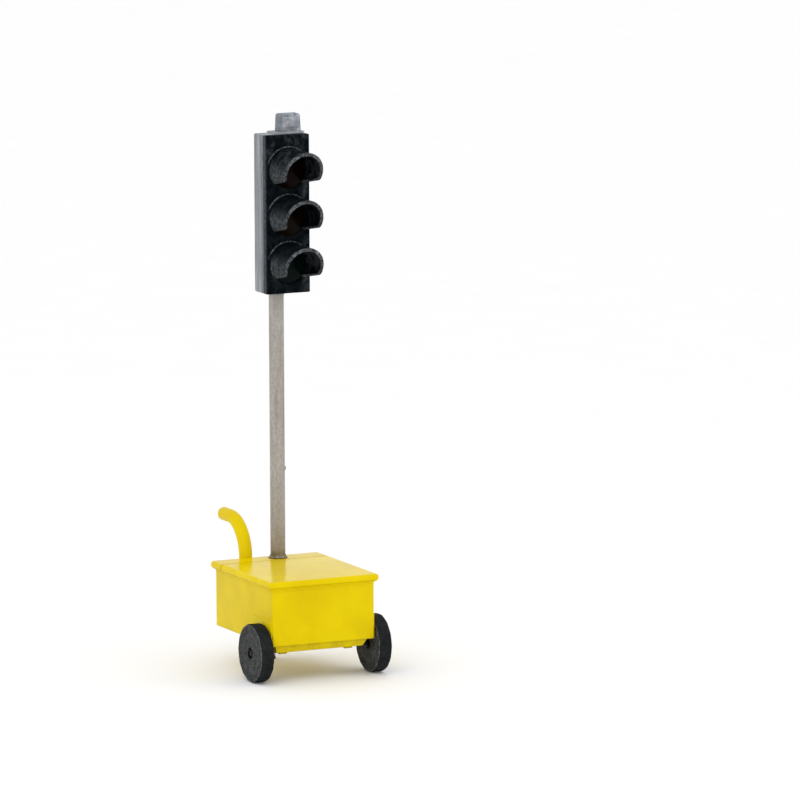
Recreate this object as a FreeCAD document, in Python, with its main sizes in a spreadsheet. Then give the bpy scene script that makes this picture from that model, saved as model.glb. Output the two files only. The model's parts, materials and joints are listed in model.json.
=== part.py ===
"""Portable traffic light: a three-aspect signal head on a lift-out mast, carried by a
two-wheeled battery trolley. Millimetres, +Z up, lamps facing -Y, origin on the ground
below the middle of the whole object. Sub-parts of the trolley are drawn about the middle
of its box and moved back by box_y; wheels, head and detector have frames of their own."""
import FreeCAD, Part
import math
import os
import re

import Sketcher
from FreeCAD import Rotation, Vector

SIZES = [
    # where things stand
    ("box_y", -142, "middle of the box, from the middle of the whole object"),
    ("mast_x", 44, "mast axis, right of the box middle"),
    ("mast_y", 297, "mast axis, behind the box middle"),
    ("hinge_y", 234, "lid hinge axis, behind the box middle"),
    ("hinge_height", 515, "lid hinge axis above the ground"),
    ("running_gap", 0.05, "radial clearance of a shaft in its bore"),
    ("free_gap", 0.4, "clearance between pieces that move past each other"),
    # box, deck and lid
    ("deck_width", 604, "lid and deck, left to right"),
    ("deck_depth", 742, "lid and deck, front to back"),
    ("deck_top", 520, "top of the lid above the ground"),
    ("deck_corner", 18, "plan radius of the lid corners"),
    ("rim_height", 32, "height of the rounded lid rim"),
    ("rim_round", 15, "rounding of the lid rim at its top"),
    ("rim_under", 8, "rounding of the lid rim at its bottom"),
    ("rim_overhang", 22, "rim beyond the box wall"),
    ("skin", 4, "moulded skin of lid and deck"),
    ("lid_border", 37, "solid border of the lid"),
    ("lid_end", 5, "back edge of the lid, ahead of its hinge axis"),
    ("deck_end", 6.5, "front edge of the rear deck, behind that axis"),
    ("lug_reach", 336, "outer edge of the padlock lugs, from the middle"),
    ("lug_x", 318, "padlock hole, from the middle"),
    ("lug_hole", 5.5, "padlock hole radius"),
    ("lug_width", 50, "padlock lug, front to back"),
    ("lug_thick", 5, "padlock lug thickness"),
    ("knuckle_radius", 4, "lid hinge knuckle"),
    ("lid_pin", 2, "lid hinge pin radius"),
    ("seal_rebate", 4, "step under the lid for its seal"),
    ("rebate_border", 18, "border round that step"),
    ("seal_border", 24, "border round the seal"),
    ("wall", 3, "box wall"),
    ("box_floor", 190, "underside of the box"),
    ("box_corner", 8, "outside corner radius of the box"),
    ("flare_reach", 17, "flange beyond the box wall"),
    ("flare_round", 16, "concave flare under the flange"),
    ("flange_thick", 4, "flange round the mouth of the box"),
    ("flange_inside", 18, "flange inside the outer wall face"),
    ("rail_front", 205, "front of the rail between lid and deck"),
    ("rail_back", 252, "back of the rail between lid and deck"),
    ("seal_width", 12, "lid seal"),
    # running gear
    ("beam_bottom", 158, "underside of the axle beam"),
    ("beam_front", 342, "front of the axle beam, ahead of the box middle"),
    ("beam_back", 125, "back of the axle beam, ahead of the box middle"),
    ("beam_left_top", 262, "left end of the axle beam at its top, from the middle"),
    ("beam_left_low", 257, "left end of the axle beam at its bottom, from the middle"),
    ("beam_right_top", 243, "right end of the axle beam at its top, from the middle"),
    ("beam_right_low", 217, "right end of the axle beam at its bottom, from the middle"),
    ("axle_y", -246, "axle, from the box middle"),
    ("axle_height", 148, "axle above the ground"),
    ("axle_radius", 10, "axle"),
    ("axle_half", 356, "half the axle length"),
    ("clamp_bolt_y", 32, "clamp bolts, either side of the axle"),
    ("clamp_x", 180, "axle clamps, from the middle"),
    ("clamp_length", 40, "axle clamp along the axle"),
    ("clamp_foot", 6, "foot of an axle clamp"),
    ("clamp_wall", 7, "thickness of a clamp over the axle"),
    ("clamp_depth", 92, "clamp foot, front to back"),
    ("wheel_x", 324.5, "middle of a wheel"),
    ("wheel_radius", 148, "tyre outside"),
    ("wheel_width", 71, "tyre width"),
    ("tyre_inside", 100, "tyre on its hub"),
    ("tyre_shoulder", 9, "bevel at the tyre edges"),
    ("hub_width", 67, "hub width"),
    ("nut_radius", 17, "axle nut, centre to corner"),
    ("washer_radius", 19, "axle washer"),
    ("collar_length", 9, "shaft collar inside each wheel"),
    ("hub_recess", 22, "radius of the recess round the axle nut"),
    ("recess_deep", 15, "depth of that recess"),
    ("bush_radius", 14, "bush outside"),
    ("plate_front", 340, "front of a side plate, ahead of the box middle"),
    ("plate_back", 125, "back of a side plate, ahead of the box middle"),
    ("plate_height", 128, "side plate height"),
    ("plate_thick", 4, "side plate thickness"),
    ("rivet_radius", 3, "rivet shank"),
    # rear foot
    ("foot_y", 316, "rear foot, behind the box middle"),
    ("foot_plate", 120, "rear foot top plate, left to right"),
    ("foot_plate_depth", 60, "rear foot top plate, front to back"),
    ("foot_plate_thick", 6, "rear foot top plate"),
    ("foot_leg", 40, "square tube of the rear foot"),
    ("foot_gauge", 3, "wall of the foot tube"),
    ("foot_sole", 5, "sole plate over the foot pad"),
    ("pad_height", 18, "rubber foot pad"),
    ("pad_radius", 34, "rubber foot pad"),
    # mast and its socket
    ("mast_radius", 38, "mast tube outside"),
    ("mast_gauge", 3, "mast tube wall"),
    ("mast_foot", 205, "bottom of the mast"),
    ("mast_top", 1926, "top of the mast"),
    ("socket_outside", 41.5, "socket tube outside"),
    ("collar_base", 49, "collar radius on the deck"),
    ("collar_neck", 40.5, "collar radius at its top"),
    ("collar_height", 18, "collar height"),
    ("collar_flange", 3, "flange of the collar on the deck"),
    ("screw_height", 980, "cable clip screw in the mast"),
    # handle
    ("handle_x", -86, "handle, from the box middle"),
    ("handle_y", 408, "handle upright, behind the box middle"),
    ("handle_radius", 34, "handle tube outside"),
    ("handle_gauge", 3, "handle tube wall"),
    ("handle_foot", 215, "bottom of the handle tube"),
    ("handle_straight", 513, "end of the upright"),
    ("handle_bend", 187, "bend radius on the centreline"),
    ("handle_reach", 80, "straight run behind the bend"),
    ("bracket_bolt_x", 48, "bracket bolts, either side of the handle"),
    ("bracket_low", 250, "lower handle bracket"),
    ("bracket_high", 415, "upper handle bracket"),
    ("bracket_height", 50, "height of a handle bracket"),
    # battery bay
    ("battery_width", 513, "battery, left to right"),
    ("battery_depth", 223, "battery, front to back"),
    ("battery_height", 212, "battery case"),
    ("battery_lid", 34, "lid of the battery case"),
    ("battery_first", -213, "middle of the front battery"),
    ("battery_pitch", 228, "from one battery to the next"),
    ("terminal_x", 205, "battery terminals, from the middle"),
    ("lead_radius", 6, "battery lead"),
    ("case_x", -130, "middle of the controller case"),
    ("case_y", 185, "middle of the controller case"),
    ("case_width", 220, "controller case, left to right"),
    ("case_depth", 86, "controller case, front to back"),
    ("case_height", 238, "controller case"),
    ("panel_thick", 5, "controller panel"),
    ("knob_x", -60, "selector, from the case middle"),
    ("button_x", 55, "test button, from the case middle"),
    ("cap_radius", 9, "test button"),
    ("knob_radius", 20, "selector disc"),
    ("shaft_radius", 4, "selector shaft"),
    # signal head, in its own frame: mast axis depth, ground of the head
    ("head_offset", 23, "head middle, right of the mast axis"),
    ("head_bottom", 1886, "underside of the head"),
    ("head_width", 240, "head, left to right"),
    ("head_height", 804, "head, top to bottom"),
    ("head_corner", 8, "corner radius of the head"),
    ("housing_back", 50, "back of the housing behind the mast axis"),
    ("housing_front", 64, "front of the housing ahead of the mast axis"),
    ("door_depth", 38, "door, front to back"),
    ("door_skin", 4, "door wall"),
    ("green_height", 150, "green lens above the underside of the head"),
    ("aspect_pitch", 240, "from one lens to the next"),
    ("lens_radius", 96, "open lens radius"),
    ("lens_seat", 98, "lens rim radius"),
    ("lens_sag", 12, "bulge of the lens"),
    ("lens_thick", 4, "lens thickness"),
    ("bowl_radius", 99, "reflector bowl"),
    ("bowl_depth", 60, "depth of a reflector bowl"),
    ("bulb_radius", 16, "lamp bulb"),
    ("neck_radius", 11, "lamp neck"),
    ("holder_radius", 18, "lamp holder"),
    ("seat_radius", 101, "gasket outside"),
    ("boss_radius", 117, "raised bezel round each visor"),
    ("boss_height", 9, "height of that bezel"),
    ("visor_radius", 108, "visor outside"),
    ("visor_wall", 5, "visor wall"),
    ("visor_lip", 18, "inward lip at the visor edge"),
    ("visor_edge", 9, "thickness of that lip"),
    ("visor_top", 222, "visor length at its top"),
    ("visor_low", 166, "visor length at its lower corner"),
    ("visor_rise", 42, "lower corner of the visor below its axis"),
    ("visor_drop", 72, "lower edge of the visor below its axis, at its base"),
    ("visor_round", 30, "rounding of the lower corner"),
    ("barrel_radius", 5, "door hinge barrel"),
    ("barrel_x", 126, "door hinge axis, right of the head middle"),
    ("barrel_length", 30, "one barrel of the door hinge"),
    ("barrel_low", 60, "bottom of the lower door hinge"),
    ("barrel_high", 690, "bottom of the upper door hinge"),
    ("pin_radius", 2.5, "door hinge pin"),
    # detector, in its own frame on the head
    ("detector_x", 53, "detector, right of the head middle"),
    ("detector_y", 13, "detector, behind the mast axis"),
    ("detector_width", 118, "detector, left to right"),
    ("detector_depth", 76, "detector, front to back"),
    ("detector_height", 88, "detector, bottom to top"),
    ("detector_round", 12, "rounding of the detector"),
    ("detector_slope", 2, "taper of the detector sides, degrees"),
    ("base_thick", 8, "detector base plate"),
    ("base_border", 12, "detector base plate beyond the detector"),
    ("base_tail", 26, "further reach of the base plate to the left"),
    ("pivot_radius", 9, "detector pivot"),
    # fasteners
    ("bolt_radius", 4, "frame bolt shank"),
    ("bolt_head", 7.5, "frame bolt head, centre to corner"),
]
ALIASES = {alias for alias, value, note in SIZES}

# Lengths that follow from the sheet
RIM_BOTTOM = "(deck_top - rim_height)"
BOX_WIDTH = "(deck_width - 2 * rim_overhang)"
BOX_DEPTH = "(deck_depth - 2 * rim_overhang)"
FLOOR_TOP = "(box_floor + wall)"
BATTERY_TOP = "(box_floor + wall + battery_height)"
CASE_TOP = "(box_floor + wall + case_height)"
BACK_WALL = f"({BOX_DEPTH} / 2)"
DOOR_FRONT = "(-housing_front - door_depth)"
BOSS_FRONT = "(-housing_front - door_depth - boss_height)"

TURNS = {
    "X": Rotation(Vector(0, 1, 0), 90),
    "Y": Rotation(Vector(1, 0, 0), -90),
    "Z": Rotation(),
    "-X": Rotation(Vector(0, 1, 0), -90),
    "-Y": Rotation(Vector(1, 0, 0), 90),
    "-Z": Rotation(Vector(1, 0, 0), 180),
}

doc = FreeCAD.newDocument("PortableTrafficLight")
sheet = doc.addObject("Spreadsheet::Sheet", "Dims")
nodes = []


def fill_sheet():
    for row, (alias, value, note) in enumerate(SIZES, start=1):
        sheet.set(f"A{row}", alias)
        sheet.set(f"B{row}", str(value))
        sheet.set(f"C{row}", note)
        sheet.setAlias(f"B{row}", alias)
    doc.recompute()


def linked(formula):
    """The formula with every alias pointing at the sheet."""
    def point(word):
        return f"Dims.{word.group()}" if word.group() in ALIASES else word.group()
    return re.sub(r"[a-z][a-z_]*", point, str(formula))


def bind(thing, **sizes):
    for name, formula in sizes.items():
        thing.setExpression(name, linked(formula))
    return thing


def place(thing, at, turn=Rotation()):
    thing.Placement = FreeCAD.Placement(Vector(), turn)
    for axis, formula in zip("xyz", at):
        thing.setExpression(f"Placement.Base.{axis}", linked(formula))
    return thing


def node(thing, at=(0, "box_y", 0), turn=Rotation()):
    """Count this object as a sub-part, standing at this place."""
    nodes.append(thing)
    return place(thing, at, turn)


# ---------------------------------------------------------------- simple solids
def block(name, size, at):
    """A block centred on x and y, standing on z."""
    thing = doc.addObject("Part::Box", name)
    bind(thing, Length=size[0], Width=size[1], Height=size[2])
    return place(thing, (f"{at[0]} - ({size[0]}) / 2", f"{at[1]} - ({size[1]}) / 2", at[2]))


def rod(name, radius, length, at, axis="Z"):
    thing = bind(doc.addObject("Part::Cylinder", name), Radius=radius, Height=length)
    return place(thing, at, TURNS[axis])


def cone(name, low, high, length, at, axis="Z"):
    thing = bind(doc.addObject("Part::Cone", name), Radius1=low, Radius2=high, Height=length)
    return place(thing, at, TURNS[axis])


def ball(name, radius, at):
    return place(bind(doc.addObject("Part::Sphere", name), Radius=radius), at)


def hexagon(name, radius, length, at, axis="Z"):
    thing = doc.addObject("Part::Prism", name)
    thing.Polygon = 6
    bind(thing, Circumradius=radius, Height=length)
    return place(thing, at, TURNS[axis])


def union(name, *parts):
    thing = doc.addObject("Part::MultiFuse", name)
    thing.Shapes = list(parts)
    return thing


def group(name, *parts):
    thing = doc.addObject("Part::Compound", name)
    thing.Links = list(parts)
    return thing


def cut(name, base, *tools):
    thing = doc.addObject("Part::Cut", name)
    thing.Base = base
    thing.Tool = tools[0] if len(tools) == 1 else union(f"{name}_tools", *tools)
    return thing


def shared(name, first, second):
    thing = doc.addObject("Part::MultiCommon", name)
    thing.Shapes = [first, second]
    return thing


def mirrored(name, source):
    thing = doc.addObject("Part::Mirroring", name)
    thing.Source = source
    thing.Normal = Vector(1, 0, 0)
    return thing


def ring(name, outside, inside, length, at, axis="Z"):
    outer = rod(f"{name}_outer", outside, length, at, axis)
    inner = rod(f"{name}_inner", inside, length, at, axis)
    return cut(name, outer, inner)


def dome(name, radius, sag, thick, at, axis="Z"):
    """A thin spherical cap: its rim lies in the plane z = 0 and its crown at z = sag."""
    bulge = f"(({radius})^2 + ({sag})^2) / (2 * ({sag}))"
    outer = ball(f"{name}_outer", bulge, (0, 0, f"{sag} - {bulge}"))
    inner = ball(f"{name}_inner", f"{bulge} - {thick}", (0, 0, f"{sag} - {bulge}"))
    limit = rod(f"{name}_limit", radius, sag, (0, 0, 0))
    shell = cut(name, shared(f"{name}_cap", outer, limit), inner)
    return place(shell, at, TURNS[axis])


def bolt(name, at, axis, grip):
    """A hexagon bolt whose head bears at this point and whose shank runs along the axis."""
    back = {"X": "-X", "Y": "-Y", "Z": "-Z", "-X": "X", "-Y": "Y", "-Z": "Z"}[axis]
    head = hexagon(f"{name}_head", "bolt_head", "bolt_head * 0.7", at, back)
    return union(name, head, rod(f"{name}_shank", "bolt_radius", grip, at, axis))


# ---------------------------------------------------------------- sketched solids
def sketch(body, name, plane, corners, offset="0"):
    """A closed outline of straight edges, each corner bound to the sheet."""
    outline = body.newObject("Sketcher::SketchObject", name)
    origin = next(item for item in body.Origin.OriginFeatures if item.Role == plane)
    outline.AttachmentSupport = [(origin, "")]
    outline.MapMode = "FlatFace"
    outline.setExpression("AttachmentOffset.Base.z", linked(offset))
    count = len(corners)
    turn = 2 * math.pi / count
    start = [Vector(99 * math.cos(turn * i - 2), 99 * math.sin(turn * i - 2), 0) for i in range(count)]
    for i in range(count):
        outline.addGeometry(Part.LineSegment(start[i], start[(i + 1) % count]), False)
    for i in range(count):
        outline.addConstraint(Sketcher.Constraint("Coincident", i, 2, (i + 1) % count, 1))
    for i, corner in enumerate(corners):
        for kind, value, formula in zip(("DistanceX", "DistanceY"), start[i], corner):
            index = outline.addConstraint(Sketcher.Constraint(kind, -1, 1, i, 1, value))
            outline.setExpression(f"Constraints[{index}]", linked(formula))
    return outline


def rectangle(width, depth):
    half_width, half_depth = f"({width}) / 2", f"({depth}) / 2"
    return [(f"-{half_width}", f"-{half_depth}"), (half_width, f"-{half_depth}"),
            (half_width, half_depth), (f"-{half_width}", half_depth)]


def feature(body, kind, name, profile, **sizes):
    """A pad, pocket or revolution of this body from one sketch."""
    thing = body.newObject(f"PartDesign::{kind}", name)
    thing.Profile = profile
    return bind(thing, **sizes)


def fillet(body, name, chosen, **sizes):
    """Round the edges of the body's last feature that the test picks."""
    doc.recompute()
    last = body.Tip
    names = [f"Edge{i}" for i, edge in enumerate(last.Shape.Edges, start=1) if chosen(edge)]
    thing = body.newObject("PartDesign::Fillet", name)
    thing.Base = (last, names)
    return bind(thing, **sizes)


def upright(edge):
    return abs(edge.BoundBox.ZLength - edge.Length) < 0.01


def level_with(height):
    def test(edge):
        low, high = edge.BoundBox.ZMin, edge.BoundBox.ZMax
        return abs(low - height) < 0.01 and abs(high - height) < 0.01
    return test


def turned(name, corners):
    """A body of revolution about Z from (radius, height) corners."""
    body = doc.addObject("PartDesign::Body", name)
    profile = sketch(body, f"{name}_profile", "XZ_Plane", corners)
    spin = feature(body, "Revolution", f"{name}_turn", profile)
    spin.ReferenceAxis = (profile, ["V_Axis"])
    spin.Angle = 360
    return body


# ---------------------------------------------------------------- box, deck and lid
def box_shell():
    """Open tub: padded block, outward flange with a concave flare, then hollowed."""
    body = doc.addObject("PartDesign::Body", "box_shell")
    outer = sketch(body, "box_outer", "XY_Plane", rectangle(BOX_WIDTH, BOX_DEPTH), "box_floor")
    feature(body, "Pad", "box_pad", outer, Length=f"{RIM_BOTTOM} - box_floor")
    fillet(body, "box_corners", upright, Radius="box_corner")
    wide = rectangle(f"{BOX_WIDTH} + 2 * flare_reach", f"{BOX_DEPTH} + 2 * flare_reach")
    flange = sketch(body, "flange_outer", "XY_Plane", wide, f"{RIM_BOTTOM} - flange_thick")
    feature(body, "Pad", "flange_pad", flange, Length="flange_thick")
    doc.recompute()
    under = sheet.deck_top - sheet.rim_height - sheet.flange_thick
    reach = sheet.deck_width / 2 - sheet.rim_overhang
    depth = sheet.deck_depth / 2 - sheet.rim_overhang

    def at_wall(edge):
        box = edge.BoundBox
        near_x = max(abs(box.XMin), abs(box.XMax)) < reach + 1
        near_y = max(abs(box.YMin), abs(box.YMax)) < depth + 1
        return level_with(under)(edge) and near_x and near_y
    fillet(body, "flare", at_wall, Radius="flare_round")
    mouth = rectangle(f"{BOX_WIDTH} - 2 * flange_inside", f"{BOX_DEPTH} - 2 * flange_inside")
    opening = sketch(body, "mouth_outline", "XY_Plane", mouth, RIM_BOTTOM)
    feature(body, "Pocket", "mouth", opening, Length="2 * flange_thick")
    inner = rectangle(f"{BOX_WIDTH} - 2 * wall", f"{BOX_DEPTH} - 2 * wall")
    hollow = sketch(body, "hollow_outline", "XY_Plane", inner, f"{RIM_BOTTOM} - flange_thick")
    feature(body, "Pocket", "hollow", hollow, Length=f"{RIM_BOTTOM} - flange_thick - {FLOOR_TOP}")
    return body


def rivet_places():
    """Height and depth of the rivets that hold one side plate."""
    low, high = "box_floor + 16", "box_floor + plate_height - 16"
    front, back = "16 - plate_front", "-16 - plate_back"
    middle = "-(plate_front + plate_back) / 2"
    return [(front, low), (front, high), (middle, high), (back, low), (back, high)]


def side_rivets(name, radius, start, length):
    """Rods through the right wall, one at each rivet."""
    return [rod(f"{name}_{i}", radius, length, (start, y, z), "X")
            for i, (y, z) in enumerate(rivet_places())]


def bracket_bolt_places():
    """Places on the back wall of the bolts that hold the two handle brackets."""
    return [(f"handle_x + {side} * bracket_bolt_x", height)
            for height in ("bracket_low", "bracket_high") for side in (-1, 1)]


def make_box():
    span = f"{BOX_WIDTH} - 2 * wall"
    rail = block("box_rail", (span, "rail_back - rail_front", "flange_thick"),
                 (0, "(rail_back + rail_front) / 2", f"{RIM_BOTTOM} - flange_thick"))
    rail_web = block("box_rail_web", (span, "wall", 30),
                     (0, "rail_back - wall / 2", f"{RIM_BOTTOM} - flange_thick - 30"))
    shell = union("box_with_rail", box_shell(), rail, rail_web)
    holes = side_rivets("rivet_hole", "rivet_radius", f"{BOX_WIDTH} / 2 - 2 * wall", "4 * wall")
    row = group("rivet_holes", *holes)
    bores = [rod(f"bracket_hole_{i}", "bolt_radius", "3 * wall", (x, f"{BACK_WALL} - 2 * wall", z), "Y")
             for i, (x, z) in enumerate(bracket_bolt_places())]
    notch = rod("flange_notch", "socket_outside + 0.5", "flange_thick + 1",
                ("mast_x", "mast_y", f"{RIM_BOTTOM} - flange_thick"))
    node(cut("box_body", shell, row, mirrored("rivet_holes_left", row), notch, *bores))


def make_side_plates():
    length = "plate_front - plate_back"
    plate = block("plate_right_blank", ("plate_thick", length, "plate_height"),
                  (f"{BOX_WIDTH} / 2 + plate_thick / 2", "-(plate_front + plate_back) / 2", "box_floor"))
    holes = side_rivets("plate_hole", "rivet_radius", f"{BOX_WIDTH} / 2 - wall", "4 * wall")
    right = cut("plate_right", plate, *holes)
    node(group("side_plates", right, mirrored("plate_left", right)))

    shanks = side_rivets("rivet_shank", "rivet_radius", f"{BOX_WIDTH} / 2 - wall", "wall + plate_thick + 0.1")
    heads = []
    for i, (y, z) in enumerate(rivet_places()):
        crown = dome(f"rivet_head_{i}", "2 * rivet_radius", 2.6, 2.5,
                     (f"{BOX_WIDTH} / 2 + plate_thick", y, z), "X")
        heads.append(union(f"rivet_{i}", shanks[i], crown, rod(
            f"rivet_core_{i}", "1.5 * rivet_radius", 1.2, (f"{BOX_WIDTH} / 2 + plate_thick", y, z), "X")))
    rivets = group("rivets_right", *heads)
    node(group("plate_rivets", rivets, mirrored("rivets_left", rivets)))


def deck_form():
    """Lid and rear deck as one rounded slab, before they are parted."""
    body = doc.addObject("PartDesign::Body", "deck_form")
    outline = sketch(body, "deck_outline", "XY_Plane", rectangle("deck_width", "deck_depth"), RIM_BOTTOM)
    feature(body, "Pad", "deck_pad", outline, Length="rim_height")
    fillet(body, "deck_corners", upright, Radius="deck_corner")
    fillet(body, "rim_roll", level_with(sheet.deck_top), Radius="rim_round")
    fillet(body, "rim_foot", level_with(sheet.deck_top - sheet.rim_height), Radius="rim_under")
    return body


def make_rear_deck(form):
    front, back = "(hinge_y + deck_end)", "(deck_depth / 2 - lid_border)"
    region = block("rear_region", ("2 * deck_width", "deck_depth", "deck_top"),
                   (0, f"{front} + deck_depth / 2", RIM_BOTTOM))
    size = ("deck_width - 2 * lid_border", f"{back} - {front} - 5", "rim_height - skin")
    under = block("rear_hollow", size, (0, f"({back} + {front} + 5) / 2", RIM_BOTTOM))
    hole = rod("deck_mast_hole", "socket_outside", "deck_top", ("mast_x", "mast_y", "box_floor"))
    slab = shared("rear_slab", form, region)
    node(cut("rear_deck", slab, under, hole))


def lug_at(name, bottom, start):
    """A flat padlock lug on the right side, with its hole."""
    plate = block(f"{name}_plate", (f"lug_reach - {start}", "lug_width", "lug_thick"),
                  (f"(lug_reach + {start}) / 2", 0, bottom))
    hole = rod(f"{name}_hole", "lug_hole", "4 * lug_thick", ("lug_x", 0, f"{bottom} - lug_thick"))
    return cut(name, plate, hole)


def make_lid(form):
    edge = "(hinge_y - lid_end)"
    region = block("lid_region", ("2 * deck_width", "deck_depth", "deck_top"),
                   (0, f"{edge} - deck_depth / 2", f"{RIM_BOTTOM} + free_gap"))
    front = "(lid_border - deck_depth / 2)"
    size = ("deck_width - 2 * lid_border", f"{edge} - 16 - {front}", "rim_height - skin")
    hollow = block("lid_hollow", size, (0, f"({edge} - 16 + {front}) / 2", RIM_BOTTOM))
    step = ("deck_width - 2 * rebate_border", f"{edge} + deck_depth / 2 - rebate_border", "seal_rebate")
    rebate = block("lid_rebate", step, (0, f"({edge} - deck_depth / 2 + rebate_border) / 2", RIM_BOTTOM))
    start = "(deck_width / 2 - rebate_border)"
    notch = block("lid_notch", ("60", "lug_width", "lug_thick"), (f"{start} + 30", 0, f"{RIM_BOTTOM} + 3"))
    slab = shared("lid_slab", form, region)
    node(cut("lid", slab, hollow, rebate, notch))
    node(lug_at("padlock_lug_lid", f"{RIM_BOTTOM} + 3", start))
    node(lug_at("padlock_lug_box", f"{RIM_BOTTOM} - 4.6", f"({BOX_WIDTH} / 2 + flare_reach)"))


def make_seal():
    front, back = "(seal_border - deck_depth / 2)", "(hinge_y - 8)"
    width, depth, middle = "deck_width - 2 * seal_border", f"{back} - {front}", f"({front} + {back}) / 2"
    outer = block("seal_outer", (width, depth, "seal_rebate - free_gap"), (0, middle, RIM_BOTTOM))
    opening = (f"{width} - 2 * seal_width", f"{depth} - 2 * seal_width", "seal_rebate")
    node(cut("lid_seal", outer, block("seal_inner", opening, (0, middle, RIM_BOTTOM))))


def make_lid_hinge():
    """Sunk piano hinge: knuckles turn about one pin, deck and lid by turns."""
    count, pitch = 10, 50
    length = count * pitch
    sides = {"deck": [], "lid": []}
    for i in range(count):
        side = ("deck", "lid")[i % 2]
        x = (i + 0.5) * pitch - length / 2
        start = (f"{x - pitch / 2} + free_gap / 2", "hinge_y", "hinge_height")
        bore = "lid_pin" if side == "deck" else "lid_pin + running_gap"
        barrel = ring(f"{side}_knuckle_{i}", "knuckle_radius", bore, f"{pitch} - free_gap", start, "X")
        if side == "deck":
            size = (f"{pitch} - free_gap", "deck_end", 1.6)
            middle = (x, "hinge_y + deck_end / 2", "hinge_height - knuckle_radius")
        else:
            size = (f"{pitch} - free_gap", 2.2, 5)
            middle = (x, "hinge_y - 3.9", "hinge_height - 4.1")
        sides[side] += [barrel, block(f"{side}_web_{i}", size, middle)]
    deck_plate = block("deck_leaf_plate", (length, 2, 22), (0, "hinge_y + 5.5", "hinge_height - 25"))
    lid_plate = block("lid_leaf_plate", (length, 1.8, 21), (0, "hinge_y - 4.1", "hinge_height - 25"))
    node(union("hinge_leaf_deck", deck_plate, *sides["deck"]))
    node(union("hinge_leaf_lid", lid_plate, *sides["lid"]))
    pin = rod("hinge_pin_rod", "lid_pin", length, (-length / 2, "hinge_y", "hinge_height"), "X")
    node(group("hinge_pin", pin))


# ---------------------------------------------------------------- running gear
def make_beam():
    """Folded beam with sloping ends, open at the top where it meets the box floor."""
    body = doc.addObject("PartDesign::Body", "beam_form")
    outer = [("-beam_left_low", "beam_bottom"), ("beam_right_low", "beam_bottom"),
             ("beam_right_top", "box_floor"), ("-beam_left_top", "box_floor")]
    pad = feature(body, "Pad", "beam_pad", sketch(body, "beam_outer", "XZ_Plane", outer, "beam_front"),
                  Length="beam_front - beam_back")
    pad.Reversed = True
    inner = [("-beam_left_low + wall", "beam_bottom + wall"), ("beam_right_low - wall", "beam_bottom + wall"),
             ("beam_right_top - wall", "box_floor"), ("-beam_left_top + wall", "box_floor")]
    feature(body, "Pocket", "beam_hollow", sketch(body, "beam_inner", "XZ_Plane", inner, "beam_front - wall"),
            Length="beam_front - beam_back - 2 * wall")
    holes = [rod(f"beam_hole_{i}", "bolt_radius", "4 * wall", (x, y, "beam_bottom - 2 * wall"))
             for i, (x, y) in enumerate(clamp_bolt_places())]
    node(cut("axle_beam", body, *holes))


def clamp_bolt_places():
    return [(f"{side} * clamp_x", f"axle_y + {way} * clamp_bolt_y") for side in (-1, 1) for way in (-1, 1)]


def make_axle_clamps():
    saddles = []
    for side in (-1, 1):
        x = f"{side} * clamp_x"
        saddle = rod(f"saddle_{side + 1}", "axle_radius + clamp_wall", "clamp_length",
                     (f"{x} - clamp_length / 2", "axle_y", "axle_height"), "X")
        foot = block(f"saddle_foot_{side + 1}", ("clamp_length", "clamp_depth", "clamp_foot"),
                     (x, "axle_y", "beam_bottom - clamp_foot"))
        above = block(f"saddle_above_{side + 1}", ("2 * clamp_length", "2 * clamp_depth", 40),
                      (x, "axle_y", "beam_bottom"))
        bore = rod(f"saddle_bore_{side + 1}", "axle_radius", "2 * clamp_length",
                   (f"{x} - clamp_length", "axle_y", "axle_height"), "X")
        throat = block(f"saddle_throat_{side + 1}", ("2 * clamp_length", "2 * axle_radius", 40),
                       (x, "axle_y", "axle_height"))
        holes = [rod(f"saddle_hole_{side + 1}_{way + 1}", "bolt_radius", 20,
                     (x, f"axle_y + {way} * clamp_bolt_y", "beam_bottom - 10")) for way in (-1, 1)]
        saddles.append(cut(f"clamp_{side + 1}", union(f"clamp_blank_{side + 1}", saddle, foot), above, bore,
                           throat, *holes))
    node(group("axle_clamps", *saddles))


def make_axle():
    bar = rod("axle_bar", "axle_radius", "2 * axle_half", ("-axle_half", "axle_y", "axle_height"), "X")
    node(group("axle", bar))
    recess = "(wheel_x + hub_width / 2 - recess_deep)"
    washer = ring("axle_washer", "washer_radius", "axle_radius", 2,
                  (f"{recess} + free_gap", "axle_y", "axle_height"), "X")
    blank = hexagon("axle_nut_blank", "nut_radius", 9, (f"{recess} + 2.5", "axle_y", "axle_height"), "X")
    bore = rod("axle_nut_bore", "axle_radius", 20, (recess, "axle_y", "axle_height"), "X")
    nut = cut("axle_nut", blank, bore)
    collar = ring("axle_collar", "axle_radius + 8", "axle_radius", "collar_length",
                  ("wheel_x - hub_width / 2 - collar_length - 1.5", "axle_y", "axle_height"), "X")
    side = group("axle_end", washer, nut, collar)
    node(group("axle_fasteners", side, mirrored("axle_end_left", side)))


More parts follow.
